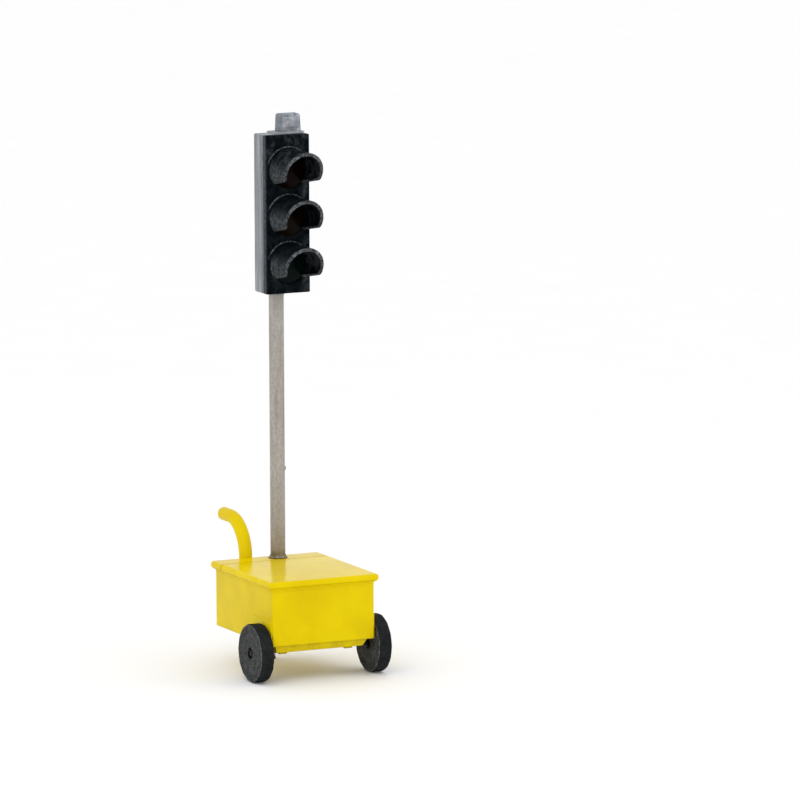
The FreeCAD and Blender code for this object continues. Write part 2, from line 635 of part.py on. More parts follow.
def make_wheel(side, way):
    """Tyre, hub and bush of one wheel, drawn about Z with the outer face up."""
    half, hub = "wheel_width / 2", "hub_width / 2"
    tyre = turned(f"tyre_{side}", [
        ("tyre_inside", f"-{half}"), ("wheel_radius - tyre_shoulder", f"-{half}"),
        ("wheel_radius", f"tyre_shoulder - {half}"), ("wheel_radius", f"{half} - tyre_shoulder"),
        ("wheel_radius - tyre_shoulder", half), ("tyre_inside", half)])
    core = turned(f"hub_{side}", [
        ("bush_radius", f"-{hub}"), ("tyre_inside", f"-{hub}"), ("tyre_inside", hub), ("hub_recess", hub),
        ("hub_recess", f"{hub} - recess_deep"), ("bush_radius", f"{hub} - recess_deep")])
    bush = ring(f"bush_{side}", "bush_radius", "axle_radius + running_gap", "hub_width - recess_deep",
                (0, 0, f"-{hub}"))
    centre = (f"{way} * wheel_x", "box_y + axle_y", "axle_height")
    for thing in (tyre, core, bush):
        node(thing, centre, TURNS["X" if way > 0 else "-X"])


# ---------------------------------------------------------------- rear foot
def make_foot():
    """One rear leg on a round rubber pad, so that the trolley stands on three points."""
    plate = block("foot_top", ("foot_plate", "foot_plate_depth", "foot_plate_thick"),
                  (0, "foot_y", "box_floor - foot_plate_thick"))
    bottom = "(pad_height + foot_sole)"
    length = f"box_floor - foot_plate_thick - {bottom}"
    inside = "foot_leg - 2 * foot_gauge"
    leg = cut("foot_tube", block("foot_tube_outer", ("foot_leg", "foot_leg", length), (0, "foot_y", bottom)),
              block("foot_tube_inner", (inside, inside, length), (0, "foot_y", bottom)))
    sole = rod("foot_sole_plate", "pad_radius - 2", "foot_sole", (0, "foot_y", "pad_height"))
    node(union("rear_foot", plate, leg, sole))
    pad = cone("foot_pad", "pad_radius", "pad_radius - 4", "pad_height", (0, "foot_y", 0))
    node(group("foot_pads", pad))


# ---------------------------------------------------------------- mast and socket
def make_mast():
    bore = "mast_radius + running_gap"
    foot = ("mast_x", "mast_y", "mast_foot")
    base = block("socket_base", (130, "2 * socket_outside", f"mast_foot - {FLOOR_TOP}"),
                 ("mast_x", "mast_y", FLOOR_TOP))
    tube = ring("socket_tube", "socket_outside", bore, "deck_top - mast_foot", foot)
    node(union("mast_socket", base, tube))
    flange = rod("collar_rim", "collar_base", "collar_flange", ("mast_x", "mast_y", "deck_top"))
    slope = cone("collar_cone", "collar_base - 2", "collar_neck", "collar_height - collar_flange",
                 ("mast_x", "mast_y", "deck_top + collar_flange"))
    hole = rod("collar_bore", "mast_radius + free_gap", "deck_top", foot)
    node(cut("mast_collar", union("collar_blank", flange, slope), hole))

    wall = ring("mast_wall", "mast_radius", "mast_radius - mast_gauge", "mast_top - mast_foot", foot)
    screw_at = ("mast_x + mast_radius", "mast_y", "screw_height")
    node(cut("mast_tube", wall, rod("mast_screw_hole", "bolt_radius", 12, screw_at, "-X")))
    crown = dome("mast_screw_crown", 9, 4, 3.9, screw_at, "X")
    body = rod("mast_screw_shank", "bolt_radius", 14,
               ("mast_x + mast_radius - 12", "mast_y", "screw_height"), "X")
    node(union("mast_screw", crown, body))
    core = rod("mast_cable_core", "lead_radius", "mast_top - mast_foot - 12",
               ("mast_x - 14", "mast_y", "mast_foot + 6"))
    node(group("mast_cable", core))


# ---------------------------------------------------------------- handle
def handle_solid(name, radius):
    """Upright, quarter bend and rearward run of the handle at one radius."""
    upright_run = rod(f"{name}_upright", radius, "handle_straight - handle_foot",
                      ("handle_x", "handle_y", "handle_foot"))
    bend = doc.addObject("Part::Torus", f"{name}_bend")
    bind(bend, Radius1="handle_bend", Radius2=radius)
    bend.Angle3 = 90
    place(bend, ("handle_x", "handle_y + handle_bend", "handle_straight"),
          Rotation(Vector(0, -1, 0), Vector(0, 0, 1), Vector(-1, 0, 0)))
    run = rod(f"{name}_run", radius, "handle_reach",
              ("handle_x", "handle_y + handle_bend", "handle_straight + handle_bend"), "Y")
    return union(name, upright_run, bend, run)


def make_handle():
    node(cut("handle_tube", handle_solid("handle_outer", "handle_radius"),
             handle_solid("handle_inner", "handle_radius - handle_gauge")))
    end = ("handle_x", "handle_y + handle_bend + handle_reach", "handle_straight + handle_bend")
    node(union("handle_plug", rod("plug_cap", "handle_radius", 3, end, "Y"),
               rod("plug_stem", "handle_radius - handle_gauge", 18, end, "-Y")))
    brackets = []
    for label, height in (("low", "bracket_low"), ("high", "bracket_high")):
        low = f"{height} - bracket_height / 2"
        plate = block(f"bracket_plate_{label}", (124, 5, "bracket_height"),
                      ("handle_x", f"{BACK_WALL} + 2.5", low))
        web = block(f"bracket_web_{label}", (44, f"handle_y - {BACK_WALL}", "bracket_height"),
                    ("handle_x", f"(handle_y + {BACK_WALL}) / 2", low))
        hoop = rod(f"bracket_hoop_{label}", "handle_radius + 6", "bracket_height",
                   ("handle_x", "handle_y", low))
        bore = rod(f"bracket_bore_{label}", "handle_radius", "2 * bracket_height",
                   ("handle_x", "handle_y", f"{low} - bracket_height / 2"))
        holes = [rod(f"bracket_drill_{label}_{way + 1}", "bolt_radius", 12,
                     (f"handle_x + {way} * bracket_bolt_x", f"{BACK_WALL} - 2", height), "Y")
                 for way in (-1, 1)]
        blank = union(f"bracket_blank_{label}", plate, web, hoop)
        brackets.append(cut(f"bracket_{label}", blank, bore, *holes))
    node(group("handle_brackets", *brackets))


def make_frame_bolts():
    bolts = [bolt(f"clamp_bolt_{i}", (x, y, "beam_bottom - clamp_foot"), "Z", "clamp_foot + wall + 6")
             for i, (x, y) in enumerate(clamp_bolt_places())]
    bolts += [bolt(f"bracket_bolt_{i}", (x, f"{BACK_WALL} + 5", z), "-Y", "5 + wall + 6")
              for i, (x, z) in enumerate(bracket_bolt_places())]
    node(group("frame_bolts", *bolts))


# ---------------------------------------------------------------- battery bay
def battery_places():
    return [f"battery_first + {i} * battery_pitch" for i in range(2)]


def make_batteries():
    cases = []
    for i, y in enumerate(battery_places()):
        case = block(f"battery_case_{i}", ("battery_width", "battery_depth", "battery_height - battery_lid"),
                     (0, y, FLOOR_TOP))
        lid = block(f"battery_lid_{i}", ("battery_width - 10", "battery_depth - 10", "battery_lid"),
                    (0, y, f"{BATTERY_TOP} - battery_lid"))
        grips = [block(f"battery_grip_{i}_{way + 1}", (16, 110, 12),
                       (f"{way} * (battery_width / 2 - 4)", y, f"{BATTERY_TOP} - 26")) for way in (-1, 1)]
        cases.append(cut(f"battery_{i}", union(f"battery_blank_{i}", case, lid), *grips))
    node(group("batteries", *cases))
    posts = []
    for i, y in enumerate(battery_places()):
        for way in (-1, 1):
            at = (f"{way} * terminal_x", y, BATTERY_TOP)
            post = cone(f"post_{i}_{way + 1}", 10, 8, 20, at)
            lug = block(f"lug_{i}_{way + 1}", (30, 34, 10), (at[0], y, f"{BATTERY_TOP} + 4"))
            posts.append(union(f"terminal_{i}_{way + 1}", post, lug))
    node(group("battery_terminals", *posts))

    front = "(battery_first - battery_depth / 2 - 8)"
    back = "(battery_first + battery_pitch + battery_depth / 2 + 8)"
    bar = block("clamp_bar_blank", (40, f"{back} - {front} + 14", 5),
                (0, f"({front} + {back}) / 2", BATTERY_TOP))
    rods, nuts = [], []
    for i, y in enumerate((front, back)):
        rods.append(rod(f"clamp_rod_{i}", "bolt_radius", "battery_height + 22", (0, y, FLOOR_TOP)))
        blank = hexagon(f"clamp_nut_blank_{i}", "bolt_head", 7, (0, y, f"{BATTERY_TOP} + 5"))
        bore = rod(f"clamp_nut_bore_{i}", "bolt_radius", 30, (0, y, BATTERY_TOP))
        nuts.append(cut(f"clamp_nut_{i}", blank, bore))
    holes = [rod(f"clamp_hole_{i}", "bolt_radius", 30, (0, y, f"{BATTERY_TOP} - 10"))
             for i, y in enumerate((front, back))]
    node(group("battery_clamp", cut("clamp_bar", bar, *holes), *rods, *nuts))


def lead(name, points, bend):
    """A round lead through these points, with tangent arcs at the turns."""
    edges, start = [], points[0]
    for before, here, after in zip(points, points[1:], points[2:]):
        back, ahead = (before - here).normalize(), (after - here).normalize()
        opening = back.getAngle(ahead)
        step = bend / math.tan(opening / 2)
        first, last = here + back * step, here + ahead * step
        middle = here + (back + ahead).normalize() * (bend / math.sin(opening / 2) - bend)
        edges += [Part.LineSegment(start, first).toShape(), Part.Arc(first, middle, last).toShape()]
        start = last
    edges.append(Part.LineSegment(start, points[-1]).toShape())
    path = Part.Wire(edges)
    profile = Part.Wire(Part.Circle(points[0], points[1] - points[0], sheet.lead_radius).toShape())
    thing = doc.addObject("Part::Feature", name)
    thing.Shape = path.makePipeShell([profile], True, False)
    return thing


def make_leads():
    """Links between the batteries and two leads to the controller."""
    terminal, half = sheet.terminal_x, 17
    front, back = sheet.battery_first, sheet.battery_first + sheet.battery_pitch
    level = sheet.box_floor + sheet.wall + sheet.battery_height + 11
    case_front = sheet.case_y - sheet.case_depth / 2
    case_right = sheet.case_x + sheet.case_width / 2
    links = [lead(f"link_{i}", [Vector(x, front + half, level), Vector(x, back - half, level)], 20)
             for i, x in enumerate((-terminal, terminal))]
    near_route = [Vector(-terminal, back + half, level), Vector(-terminal, case_front, level)]
    near = lead("lead_near", near_route, 20)
    far = lead("lead_far", [Vector(terminal, back + half, level), Vector(terminal, sheet.case_y, level),
                            Vector(case_right, sheet.case_y, level)], 40)
    node(group("battery_leads", *links, near, far))


def make_controller():
    """Open case with a panel on top, drawn about the middle of the case."""
    centre = ("case_x", "box_y + case_y", FLOOR_TOP)
    inner = ("case_width - 2 * wall", "case_depth - 2 * wall", "case_height")
    node(cut("controller_case", block("case_outer", ("case_width", "case_depth", "case_height"), (0, 0, 0)),
             block("case_inner", inner, (0, 0, "wall"))), centre)
    board = block("board_sheet", ("case_width - 30", 2, "case_height - 60"), (0, 0, 20))
    parts = [block(f"board_part_{i}", (24, 16 + 4 * (i % 2), 30),
                   (36 * i - 72, 9 + 2 * (i % 2), 50 + 25 * (i % 3))) for i in range(5)]
    node(union("circuit_board", board, *parts), centre)
    plate = block("panel_plate", ("case_width", "case_depth", "panel_thick"), (0, 0, "case_height"))
    bezel = rod("button_bezel", 14, 5, ("button_x", 0, "case_height + panel_thick"))
    lamp = rod("panel_lamp", 5, 4, (0, 20, "case_height + panel_thick"))
    bores = [rod("knob_bore", "shaft_radius + running_gap", 40, ("knob_x", 0, "case_height - 10")),
             rod("button_bore", "cap_radius + running_gap", 40, ("button_x", 0, "case_height - 10"))]
    node(cut("controller_panel", union("panel_blank", plate, bezel, lamp), *bores), centre)

    top = f"{FLOOR_TOP} + case_height + panel_thick"
    knob_place = ("case_x + knob_x", "box_y + case_y", top)
    grip = block("knob_grip", (38, 9, 12), (0, 0, 10))
    disc = rod("knob_disc", "knob_radius", 10, (0, 0, 0.6))
    shaft = rod("knob_shaft", "shaft_radius", 22, (0, 0, -18))
    node(union("selector_knob", grip, disc, shaft), knob_place)
    button_place = ("case_x + button_x", "box_y + case_y", top)
    cap = rod("button_cap", "cap_radius", 24, (0, 0, -14))
    stop = rod("button_stop", 12, 3, (0, 0, "-panel_thick - 3.5"))
    node(union("push_button", cap, stop), button_place)


# ---------------------------------------------------------------- signal head
HEAD = ("mast_x + head_offset", "box_y + mast_y", "head_bottom")
ASPECTS = {"green": "green_height", "amber": "(green_height + aspect_pitch)",
           "red": "(green_height + 2 * aspect_pitch)"}


def rounded_column(name, front, back, height):
    """A block as wide as the head, its upright and top edges rounded."""
    body = doc.addObject("PartDesign::Body", name)
    side = "head_width / 2"
    corners = [(f"-{side}", front), (side, front), (side, back), (f"-{side}", back)]
    feature(body, "Pad", f"{name}_pad", sketch(body, f"{name}_outline", "XY_Plane", corners), Length=height)
    fillet(body, f"{name}_corners", upright, Radius="head_corner")
    return body


def door_barrels(name, lift, back, radius):
    """Two hinge barrels with webs to one side of the joint between door and housing."""
    parts = []
    for i, low in enumerate(("barrel_low", "barrel_high")):
        bottom = f"{low} + {lift}"
        parts.append(rod(f"{name}_barrel_{i}", "barrel_radius", "barrel_length - free_gap",
                         ("barrel_x", "-housing_front", bottom)))
        parts.append(block(f"{name}_web_{i}", (6, 6, "barrel_length - free_gap"),
                           ("barrel_x - 5", f"-housing_front + {back}", bottom)))
    bores = [rod(f"{name}_bore_{i}", radius, "barrel_length + 10",
                 ("barrel_x", "-housing_front", f"{low} + {lift} - 5"))
             for i, low in enumerate(("barrel_low", "barrel_high"))]
    return parts, bores


def make_housing():
    column = rounded_column("housing_column", "-housing_front", "housing_back", "head_height")
    inside = "head_width - 2 * door_skin"
    depth = "(housing_front + housing_back)"
    hollow = block("housing_hollow", (inside, depth, "head_height - 2 * door_skin"),
                   (0, "(housing_back - housing_front) / 2 - door_skin", "door_skin"))
    barrels, bores = door_barrels("housing", "barrel_length", 3.4, "pin_radius")
    hole = rod("housing_mast_hole", "socket_outside + 1", "3 * door_skin", ("-head_offset", 0, "-door_skin"))
    node(cut("head_housing", union("housing_blank", column, *barrels), hollow, hole, *bores), HEAD)
    pins = [rod(f"door_pin_{i}", "pin_radius", "2 * barrel_length", ("barrel_x", "-housing_front", low))
            for i, low in enumerate(("barrel_low", "barrel_high"))]
    node(group("door_hinge_pins", *pins), HEAD)


def make_head_socket():
    at = "-head_offset"
    rise = "(mast_top - head_bottom)"
    flare = cone("socket_flare", "socket_outside - 1", 50, 15, (at, 0, -15))
    tube = rod("head_tube", "socket_outside + 1", f"{rise} + 6", (at, 0, 0))
    bore = rod("head_bore", "mast_radius + running_gap", f"{rise} + 20.3", (at, 0, -20))
    eye = rod("head_cable_eye", 24, 100, (at, 0, 0))
    node(cut("head_socket", union("head_socket_blank", flare, tube), bore, eye), HEAD)


def make_optics():
    """Reflector bowls, bulbs and holders, one of each behind every lens."""
    bowls, bulbs, holders = [], [], []
    for colour, height in ASPECTS.items():
        bowl = dome(f"bowl_{colour}", "bowl_radius", "bowl_depth", 2, (0, "2 - housing_front", height), "Y")
        eye = rod(f"bowl_eye_{colour}", 15, 80, (0, "-housing_front", height), "Y")
        bowls.append(cut(f"reflector_{colour}", bowl, eye))
        bulb = ball(f"bulb_{colour}", "bulb_radius", (0, "-housing_front + 34", height))
        neck = rod(f"bulb_neck_{colour}", "neck_radius", 26, (0, "-housing_front + 42", height), "Y")
        bulbs.append(union(f"lamp_{colour}", bulb, neck))
        start = (0, "-housing_front + 63", height)
        sleeve = ring(f"holder_sleeve_{colour}", "holder_radius", "neck_radius", 12, start, "Y")
        back = rod(f"holder_back_{colour}", "holder_radius", "housing_back - door_skin + housing_front - 75",
                   (0, "-housing_front + 75", height), "Y")
        holders.append(union(f"holder_{colour}", sleeve, back))
    node(group("reflectors", *bowls), HEAD)
    node(group("lamps", *bulbs), HEAD)
    node(group("lamp_holders", *holders), HEAD)


def make_head_cable():
    """From the mast top, past the first reflector and up the back of the housing."""
    rise = sheet.mast_top - sheet.head_bottom
    offset, back = -sheet.head_offset, sheet.housing_back - sheet.door_skin - sheet.lead_radius - 2
    top = sheet.green_height + 2 * sheet.aspect_pitch
    route = [Vector(offset - 14, 4, rise + 2), Vector(offset - 14, 4, rise + 20),
             Vector(-70, back, rise + 70), Vector(-70, back, top)]
    node(lead("head_cable", route, 20), HEAD)


def make_door():
    column = rounded_column("door_column", DOOR_FRONT, "(-housing_front - free_gap)", "head_height")
    barrels, bores = door_barrels("door", "0", -3.6, "pin_radius + running_gap")
    hollow = block("door_hollow", ("head_width - 2 * door_skin", "door_depth", "head_height - 2 * door_skin"),
                   (0, f"{DOOR_FRONT} + door_depth / 2 + door_skin", "door_skin"))
    bosses, eyes = [], []
    for colour, height in ASPECTS.items():
        bosses.append(cone(f"boss_{colour}", "boss_radius", "boss_radius - 2", "boss_height",
                           (0, DOOR_FRONT, height), "-Y"))
        eyes.append(rod(f"eye_{colour}", "lens_radius", 60, (0, "-housing_front - 10", height), "-Y"))
        eyes.append(rod(f"seat_{colour}", "seat_radius", "door_depth + boss_height - 14",
                        (0, "-housing_front - 10", height), "-Y"))
    screws = door_screw_places()
    holes = [rod(f"door_screw_hole_{i}", "bolt_radius", "2 * door_skin", (x, f"{DOOR_FRONT} - 2", z), "Y")
             for i, (x, z) in enumerate(screws)]
    shell = cut("door_shell", union("door_solid", column, *barrels), hollow, *bores, *holes)
    node(cut("door_panel", union("door_blank", shell, *bosses), *eyes), HEAD)
    heads = []
    for i, (x, z) in enumerate(screws):
        at = (x, DOOR_FRONT, z)
        slot = block(f"screw_slot_{i}", (10, 10, 1.4), (x, f"{DOOR_FRONT} - 6", f"{z} - 0.7"))
        head = cut(f"screw_head_{i}", rod(f"screw_disc_{i}", 6, 3, at, "-Y"), slot)
        shank = rod(f"screw_shank_{i}", "bolt_radius", "door_depth - 4", at, "Y")
        heads.append(union(f"door_screw_{i}", head, shank))
    node(group("door_screws", *heads), HEAD)


def door_screw_places():
    edge = "14 - head_width / 2"
    return [(edge, f"green_height + {step} * aspect_pitch") for step in (0.5, 1.5)]


def visor_side(name, inset):
    """Side view of the visor as a slab across it: slanted front, round corner, falling lower edge."""
    body = doc.addObject("PartDesign::Body", name)
    corners = [("-20", "visor_radius + 10"), (f"visor_top - {inset}", "visor_radius + 10"),
               (f"visor_top - {inset}", "visor_radius"), (f"visor_low - {inset}", f"{inset} - visor_rise"),
               ("-20", f"{inset} - visor_drop - 3")]
    outline = sketch(body, f"{name}_outline", "YZ_Plane", corners, "-visor_radius - 10")
    feature(body, "Pad", f"{name}_pad", outline, Length="2 * visor_radius + 20")

    def low_corner(edge):
        box = edge.BoundBox
        return box.XLength > 100 and box.YMin > 20 and box.ZMax < 0
    fillet(body, f"{name}_corner", low_corner, Radius="visor_round")
    return body


def make_visor(colour, height):
    """Cowl visor drawn along +Y from its base ring, then turned to point forward."""
    outside = rod(f"visor_outer_{colour}", "visor_radius", "visor_top + 5", (0, 0, 0), "Y")
    full = shared(f"visor_full_{colour}", outside, visor_side(f"visor_outline_{colour}", "0"))
    inside = rod(f"visor_inner_{colour}", "visor_radius - visor_wall", "visor_top + 25", (0, -10, 0), "Y")
    room = shared(f"visor_room_{colour}", inside, visor_side(f"visor_inset_{colour}", "visor_edge"))
    mouth = rod(f"visor_mouth_{colour}", "visor_radius - visor_lip", "2 * visor_top", (0, -10, 0), "Y")
    shell = cut(f"visor_shell_{colour}", full, room, mouth)
    base = ring(f"visor_base_{colour}", "visor_radius + 4", "visor_radius - visor_wall", 4, (0, 0, 0), "Y")
    x, y, z = HEAD
    node(union(f"visor_{colour}", shell, base), (x, f"{y} + {BOSS_FRONT}", f"{z} + {height}"),
         Rotation(Vector(0, 0, 1), 180))


def make_lenses():
    """A domed lens in each eye of the door, clipped behind the bezel on its gasket."""
    gaskets = []
    x, y, z = HEAD
    seat = f"{BOSS_FRONT} + 5"
    for colour, height in ASPECTS.items():
        crown = dome(f"crown_{colour}", "lens_radius - 0.5", "lens_sag", "lens_thick", (0, 0, 0))
        rim = ring(f"lens_rim_{colour}", "lens_seat", "lens_radius - 9", "lens_thick", (0, 0, "-lens_thick"))
        node(union(f"lens_{colour}", crown, rim), (x, f"{y} + {seat}", f"{z} + {height}"), TURNS["-Y"])
        gaskets.append(ring(f"gasket_{colour}", "seat_radius", "lens_seat", 6, (0, seat, height), "Y"))
    node(group("lens_gaskets", *gaskets), HEAD)


# ---------------------------------------------------------------- detector
def make_detector():
    x, y, z = HEAD
    place_on_head = (f"{x} + detector_x", f"{y} + detector_y", f"{z} + head_height")
    spread = ("detector_width + 2 * base_border + base_tail", "detector_depth + base_border", "base_thick")
    plate = block("base_plate", spread, ("-base_tail / 2", -1, 0))
    pivot = rod("base_pivot", "pivot_radius", 18, (0, 0, "base_thick"))
    node(union("detector_base", plate, pivot), place_on_head)

    body = doc.addObject("PartDesign::Body", "detector_form")
    outline = sketch(body, "detector_outline", "XY_Plane", rectangle("detector_width", "detector_depth"))
    feature(body, "Pad", "detector_pad", outline, Length="detector_height", TaperAngle="-detector_slope")
    doc.recompute()
    fillet(body, "detector_edges", lambda edge: edge.BoundBox.ZMax > 1, Radius="detector_round")
    room = block("detector_room", ("detector_width - 24", "detector_depth - 20", "detector_height - 34"),
                 (0, -8, 20))
    window = block("detector_mouth", ("detector_width - 24", 40, "detector_height - 34"),
                   (0, "-detector_depth / 2 - 10", 20))
    bore = rod("detector_bore", "pivot_radius + running_gap", 20, (0, 0, -1))
    above = (place_on_head[0], place_on_head[1], f"{place_on_head[2]} + base_thick + free_gap")
    node(cut("detector_housing", body, room, window, bore), above)
    cover = block("cover_plate", ("detector_width - 24", 5, "detector_height - 34"),
                  (0, "-detector_depth / 2 + 6", 20))
    node(group("detector_cover", cover), above)


def make_all():
    fill_sheet()
    form = deck_form()
    make_box()
    make_side_plates()
    make_rear_deck(form)
    make_lid(form)
    make_seal()
    make_lid_hinge()
    make_beam()
    make_axle_clamps()
    make_axle()
    make_wheel("left", -1)
    make_wheel("right", 1)
    make_foot()
    make_mast()
    make_handle()
    make_frame_bolts()
    make_batteries()
    make_leads()
    make_controller()
    make_housing()
    make_head_socket()
    make_optics()
    make_head_cable()
    make_door()
    for colour, height in ASPECTS.items():
        make_visor(colour, height)
    make_lenses()
    make_detector()
    doc.recompute()


def check():
    for thing in doc.Objects:
        if {"Invalid", "Error"} & set(thing.State):
            raise RuntimeError(f"{thing.Name} did not compute: {thing.State}")
    for thing in nodes:
        if thing.Shape.isNull() or not thing.Shape.isValid() or not thing.Shape.Solids:
            raise RuntimeError(f"{thing.Label} is not a valid solid")


def write():
    os.makedirs("parts", exist_ok=True)
    for thing in nodes:
        thing.Shape.exportStep(f"parts/{thing.Label}.step")


make_all()
check()
write()
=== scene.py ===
"""Looks of the portable traffic light: detailed meshes and procedural materials round the CAD frame."""
import json
import math

import bmesh
import bpy
from mathutils import Matrix, Vector


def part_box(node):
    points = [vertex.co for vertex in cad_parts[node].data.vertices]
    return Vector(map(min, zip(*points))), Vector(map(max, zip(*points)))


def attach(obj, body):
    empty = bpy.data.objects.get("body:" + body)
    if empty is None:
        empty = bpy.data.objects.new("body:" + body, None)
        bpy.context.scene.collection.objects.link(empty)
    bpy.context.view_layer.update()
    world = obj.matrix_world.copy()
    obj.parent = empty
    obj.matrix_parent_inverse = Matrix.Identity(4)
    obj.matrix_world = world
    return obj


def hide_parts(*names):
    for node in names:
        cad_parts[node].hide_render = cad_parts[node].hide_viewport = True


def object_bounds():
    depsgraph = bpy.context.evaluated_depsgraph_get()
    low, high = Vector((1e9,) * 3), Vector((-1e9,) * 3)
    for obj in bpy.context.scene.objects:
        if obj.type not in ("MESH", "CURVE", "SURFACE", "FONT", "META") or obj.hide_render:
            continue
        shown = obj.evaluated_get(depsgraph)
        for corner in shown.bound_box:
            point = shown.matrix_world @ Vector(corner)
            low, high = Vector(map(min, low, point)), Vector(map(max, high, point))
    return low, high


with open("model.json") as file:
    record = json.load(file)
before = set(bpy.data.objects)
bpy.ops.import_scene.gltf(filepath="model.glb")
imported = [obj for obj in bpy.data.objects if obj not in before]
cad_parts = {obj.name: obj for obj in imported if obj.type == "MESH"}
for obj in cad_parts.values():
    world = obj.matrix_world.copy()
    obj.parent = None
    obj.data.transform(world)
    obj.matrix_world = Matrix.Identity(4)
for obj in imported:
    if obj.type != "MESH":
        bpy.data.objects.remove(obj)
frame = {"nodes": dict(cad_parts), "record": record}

CAD_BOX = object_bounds()
MM = 0.001
TIP = 0.1 * MM  # radius that closes the end of a turned shape


# ---- boxes of CAD nodes
def middle(node):
    low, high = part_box(node)
    return (low + high) / 2


def below(node):
    """The point on the ground below the middle of a node."""
    centre = middle(node)
    return centre.x, centre.y, 0


def half(node, axis):
    """Half of a node's extent along an axis."""
    low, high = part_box(node)
    return (getattr(high, axis) - getattr(low, axis)) / 2


# ---- mesh helpers
def make_object(name, points, faces, sharp_deg=32, wear=None):
    """A mesh object with outward normals, smooth except across sharp edges; wear is a number per point, for
    wear and for painted highlight.
    """
    mesh = bpy.data.meshes.new(name)
    mesh.from_pydata([tuple(p) for p in points], [], [tuple(f) for f in faces])
    if wear:
        mesh.attributes.new("wear", "FLOAT", "POINT").data.foreach_set("value", wear)
    tidy = bmesh.new()
    tidy.from_mesh(mesh)
    bmesh.ops.remove_doubles(tidy, verts=tidy.verts, dist=1e-6)
    bmesh.ops.recalc_face_normals(tidy, faces=tidy.faces)
    tidy.to_mesh(mesh)
    tidy.free()
    return smooth(placed(name, mesh), sharp_deg)


def placed(name, data):
    """A new object in the scene."""
    thing = bpy.data.objects.new(name, data)
    bpy.context.scene.collection.objects.link(thing)
    return thing


def smooth(piece, sharp_deg=32):
    mesh = piece.data
    mesh.polygons.foreach_set("use_smooth", [True] * len(mesh.polygons))
    mesh.set_sharp_from_angle(angle=math.radians(sharp_deg))
    return piece


def joined(*parts):
    """Several (points, faces) shapes as one."""
    points, faces = [], []
    for some_points, some_faces in parts:
        start = len(points)
        points += some_points
        faces += [[start + i for i in face] for face in some_faces]
    return points, faces


def loft(rings, first_cap=True, last_cap=True):
    """Quads between closed rings of equal length, with flat ends."""
    count = len(rings[0])
    points = [Vector(p) for ring in rings for p in ring]
    faces = []
    for row in range(len(rings) - 1):
        for i in range(count):
            j = (i + 1) % count
            faces.append([row * count + i, row * count + j, (row + 1) * count + j, (row + 1) * count + i])
    if first_cap:
        faces.append(list(range(count)))
    if last_cap:
        faces.append([(len(rings) - 1) * count + i for i in range(count)])
    return points, faces


def arc(centre, radius, start, end, steps):
    """Points of an arc in a profile, angles in degrees."""
    turns = [math.radians(start + (end - start) * i / steps) for i in range(steps + 1)]
    return [(centre[0] + radius * math.cos(t), centre[1] + radius * math.sin(t)) for t in turns]


AXES = {
    "X": Matrix(((0, 0, 1), (1, 0, 0), (0, 1, 0))),
    "-X": Matrix(((0, 0, -1), (-1, 0, 0), (0, 1, 0))),
    "Y": Matrix(((1, 0, 0), (0, 0, 1), (0, -1, 0))),
    "-Y": Matrix(((1, 0, 0), (0, 0, -1), (0, 1, 0))),
    "Z": Matrix(((1, 0, 0), (0, 1, 0), (0, 0, 1))),
}


def lathe(profile, origin, axis="Z", count=72, closed=False, shape=None):
    """A solid of revolution from (radius, height) points; shape(turn, radius, height) may change radii."""
    turn = AXES[axis]
    rings = []
    for radius, height in profile:
        ring = []
        for i in range(count):
            angle = 2 * math.pi * i / count
            here = shape(angle, radius, height) if shape else radius
            spot = Vector((here * math.cos(angle), here * math.sin(angle), height))
            ring.append(Vector(origin) + turn @ spot)
        rings.append(ring)
    if closed:
        rings.append(rings[0])
    return loft(rings, not closed, not closed)


def rod(radius, start, end, origin, axis="Z"):
    """A plain cylinder, for boring holes."""
    return lathe([(radius, start), (radius, end)], origin, axis)


def rounded_rect(low, high, radius, corner=8):
    """Plan outline of a rounded rectangle, anticlockwise from its right side."""
    (x0, y0), (x1, y1) = low, high
    radius = max(radius, 0.2 * MM)
    centres = [(x1 - radius, y1 - radius, 0), (x0 + radius, y1 - radius, 90),
               (x0 + radius, y0 + radius, 180), (x1 - radius, y0 + radius, 270)]
    outline = []
    for x, y, start in centres:
        outline += arc((x, y), radius, start, start + 90, corner)
    return outline


def rect_ring(low, high, grow, height, radius, least=1 * MM, corner=8):
    """A rounded rectangle grown on every side, at a height."""
    outline = rounded_rect((low[0] - grow, low[1] - grow), (high[0] + grow, high[1] + grow),
                           max(radius + grow, least), corner)
    return [(x, y, height) for x, y in outline]


def rect_loft(profile, low, high, corner_radius, corner=8):
    """Rounded rectangles, each grown by the first number of a profile point and lifted to the second."""
    return loft([rect_ring(low, high, grow, height, corner_radius, corner=corner)
                 for grow, height in profile])


def rounded_box(low, high, edge, steps=3):
    """A block with every edge rounded."""
    bottom = [(-edge + x, low[2] + edge + y) for x, y in arc((0, 0), edge, -90, 0, steps)]
    top = [(-edge + x, high[2] - edge + y) for x, y in arc((0, 0), edge, 0, 90, steps)]
    return rect_loft(bottom + top, low[:2], high[:2], edge, steps)


def swept(path, radius_at, count=32):
    """A round tube along a path in the plane x = constant."""
    rings = []
    side = Vector((1, 0, 0))
    for i, point in enumerate(path):
        ahead = (path[min(i + 1, len(path) - 1)] - path[max(i - 1, 0)]).normalized()
        across = ahead.cross(side)
        wide, high = radius_at(i)
        rings.append([point + side * wide * math.cos(t) + across * high * math.sin(t)
                      for t in (2 * math.pi * k / count for k in range(count))])
    return loft(rings)


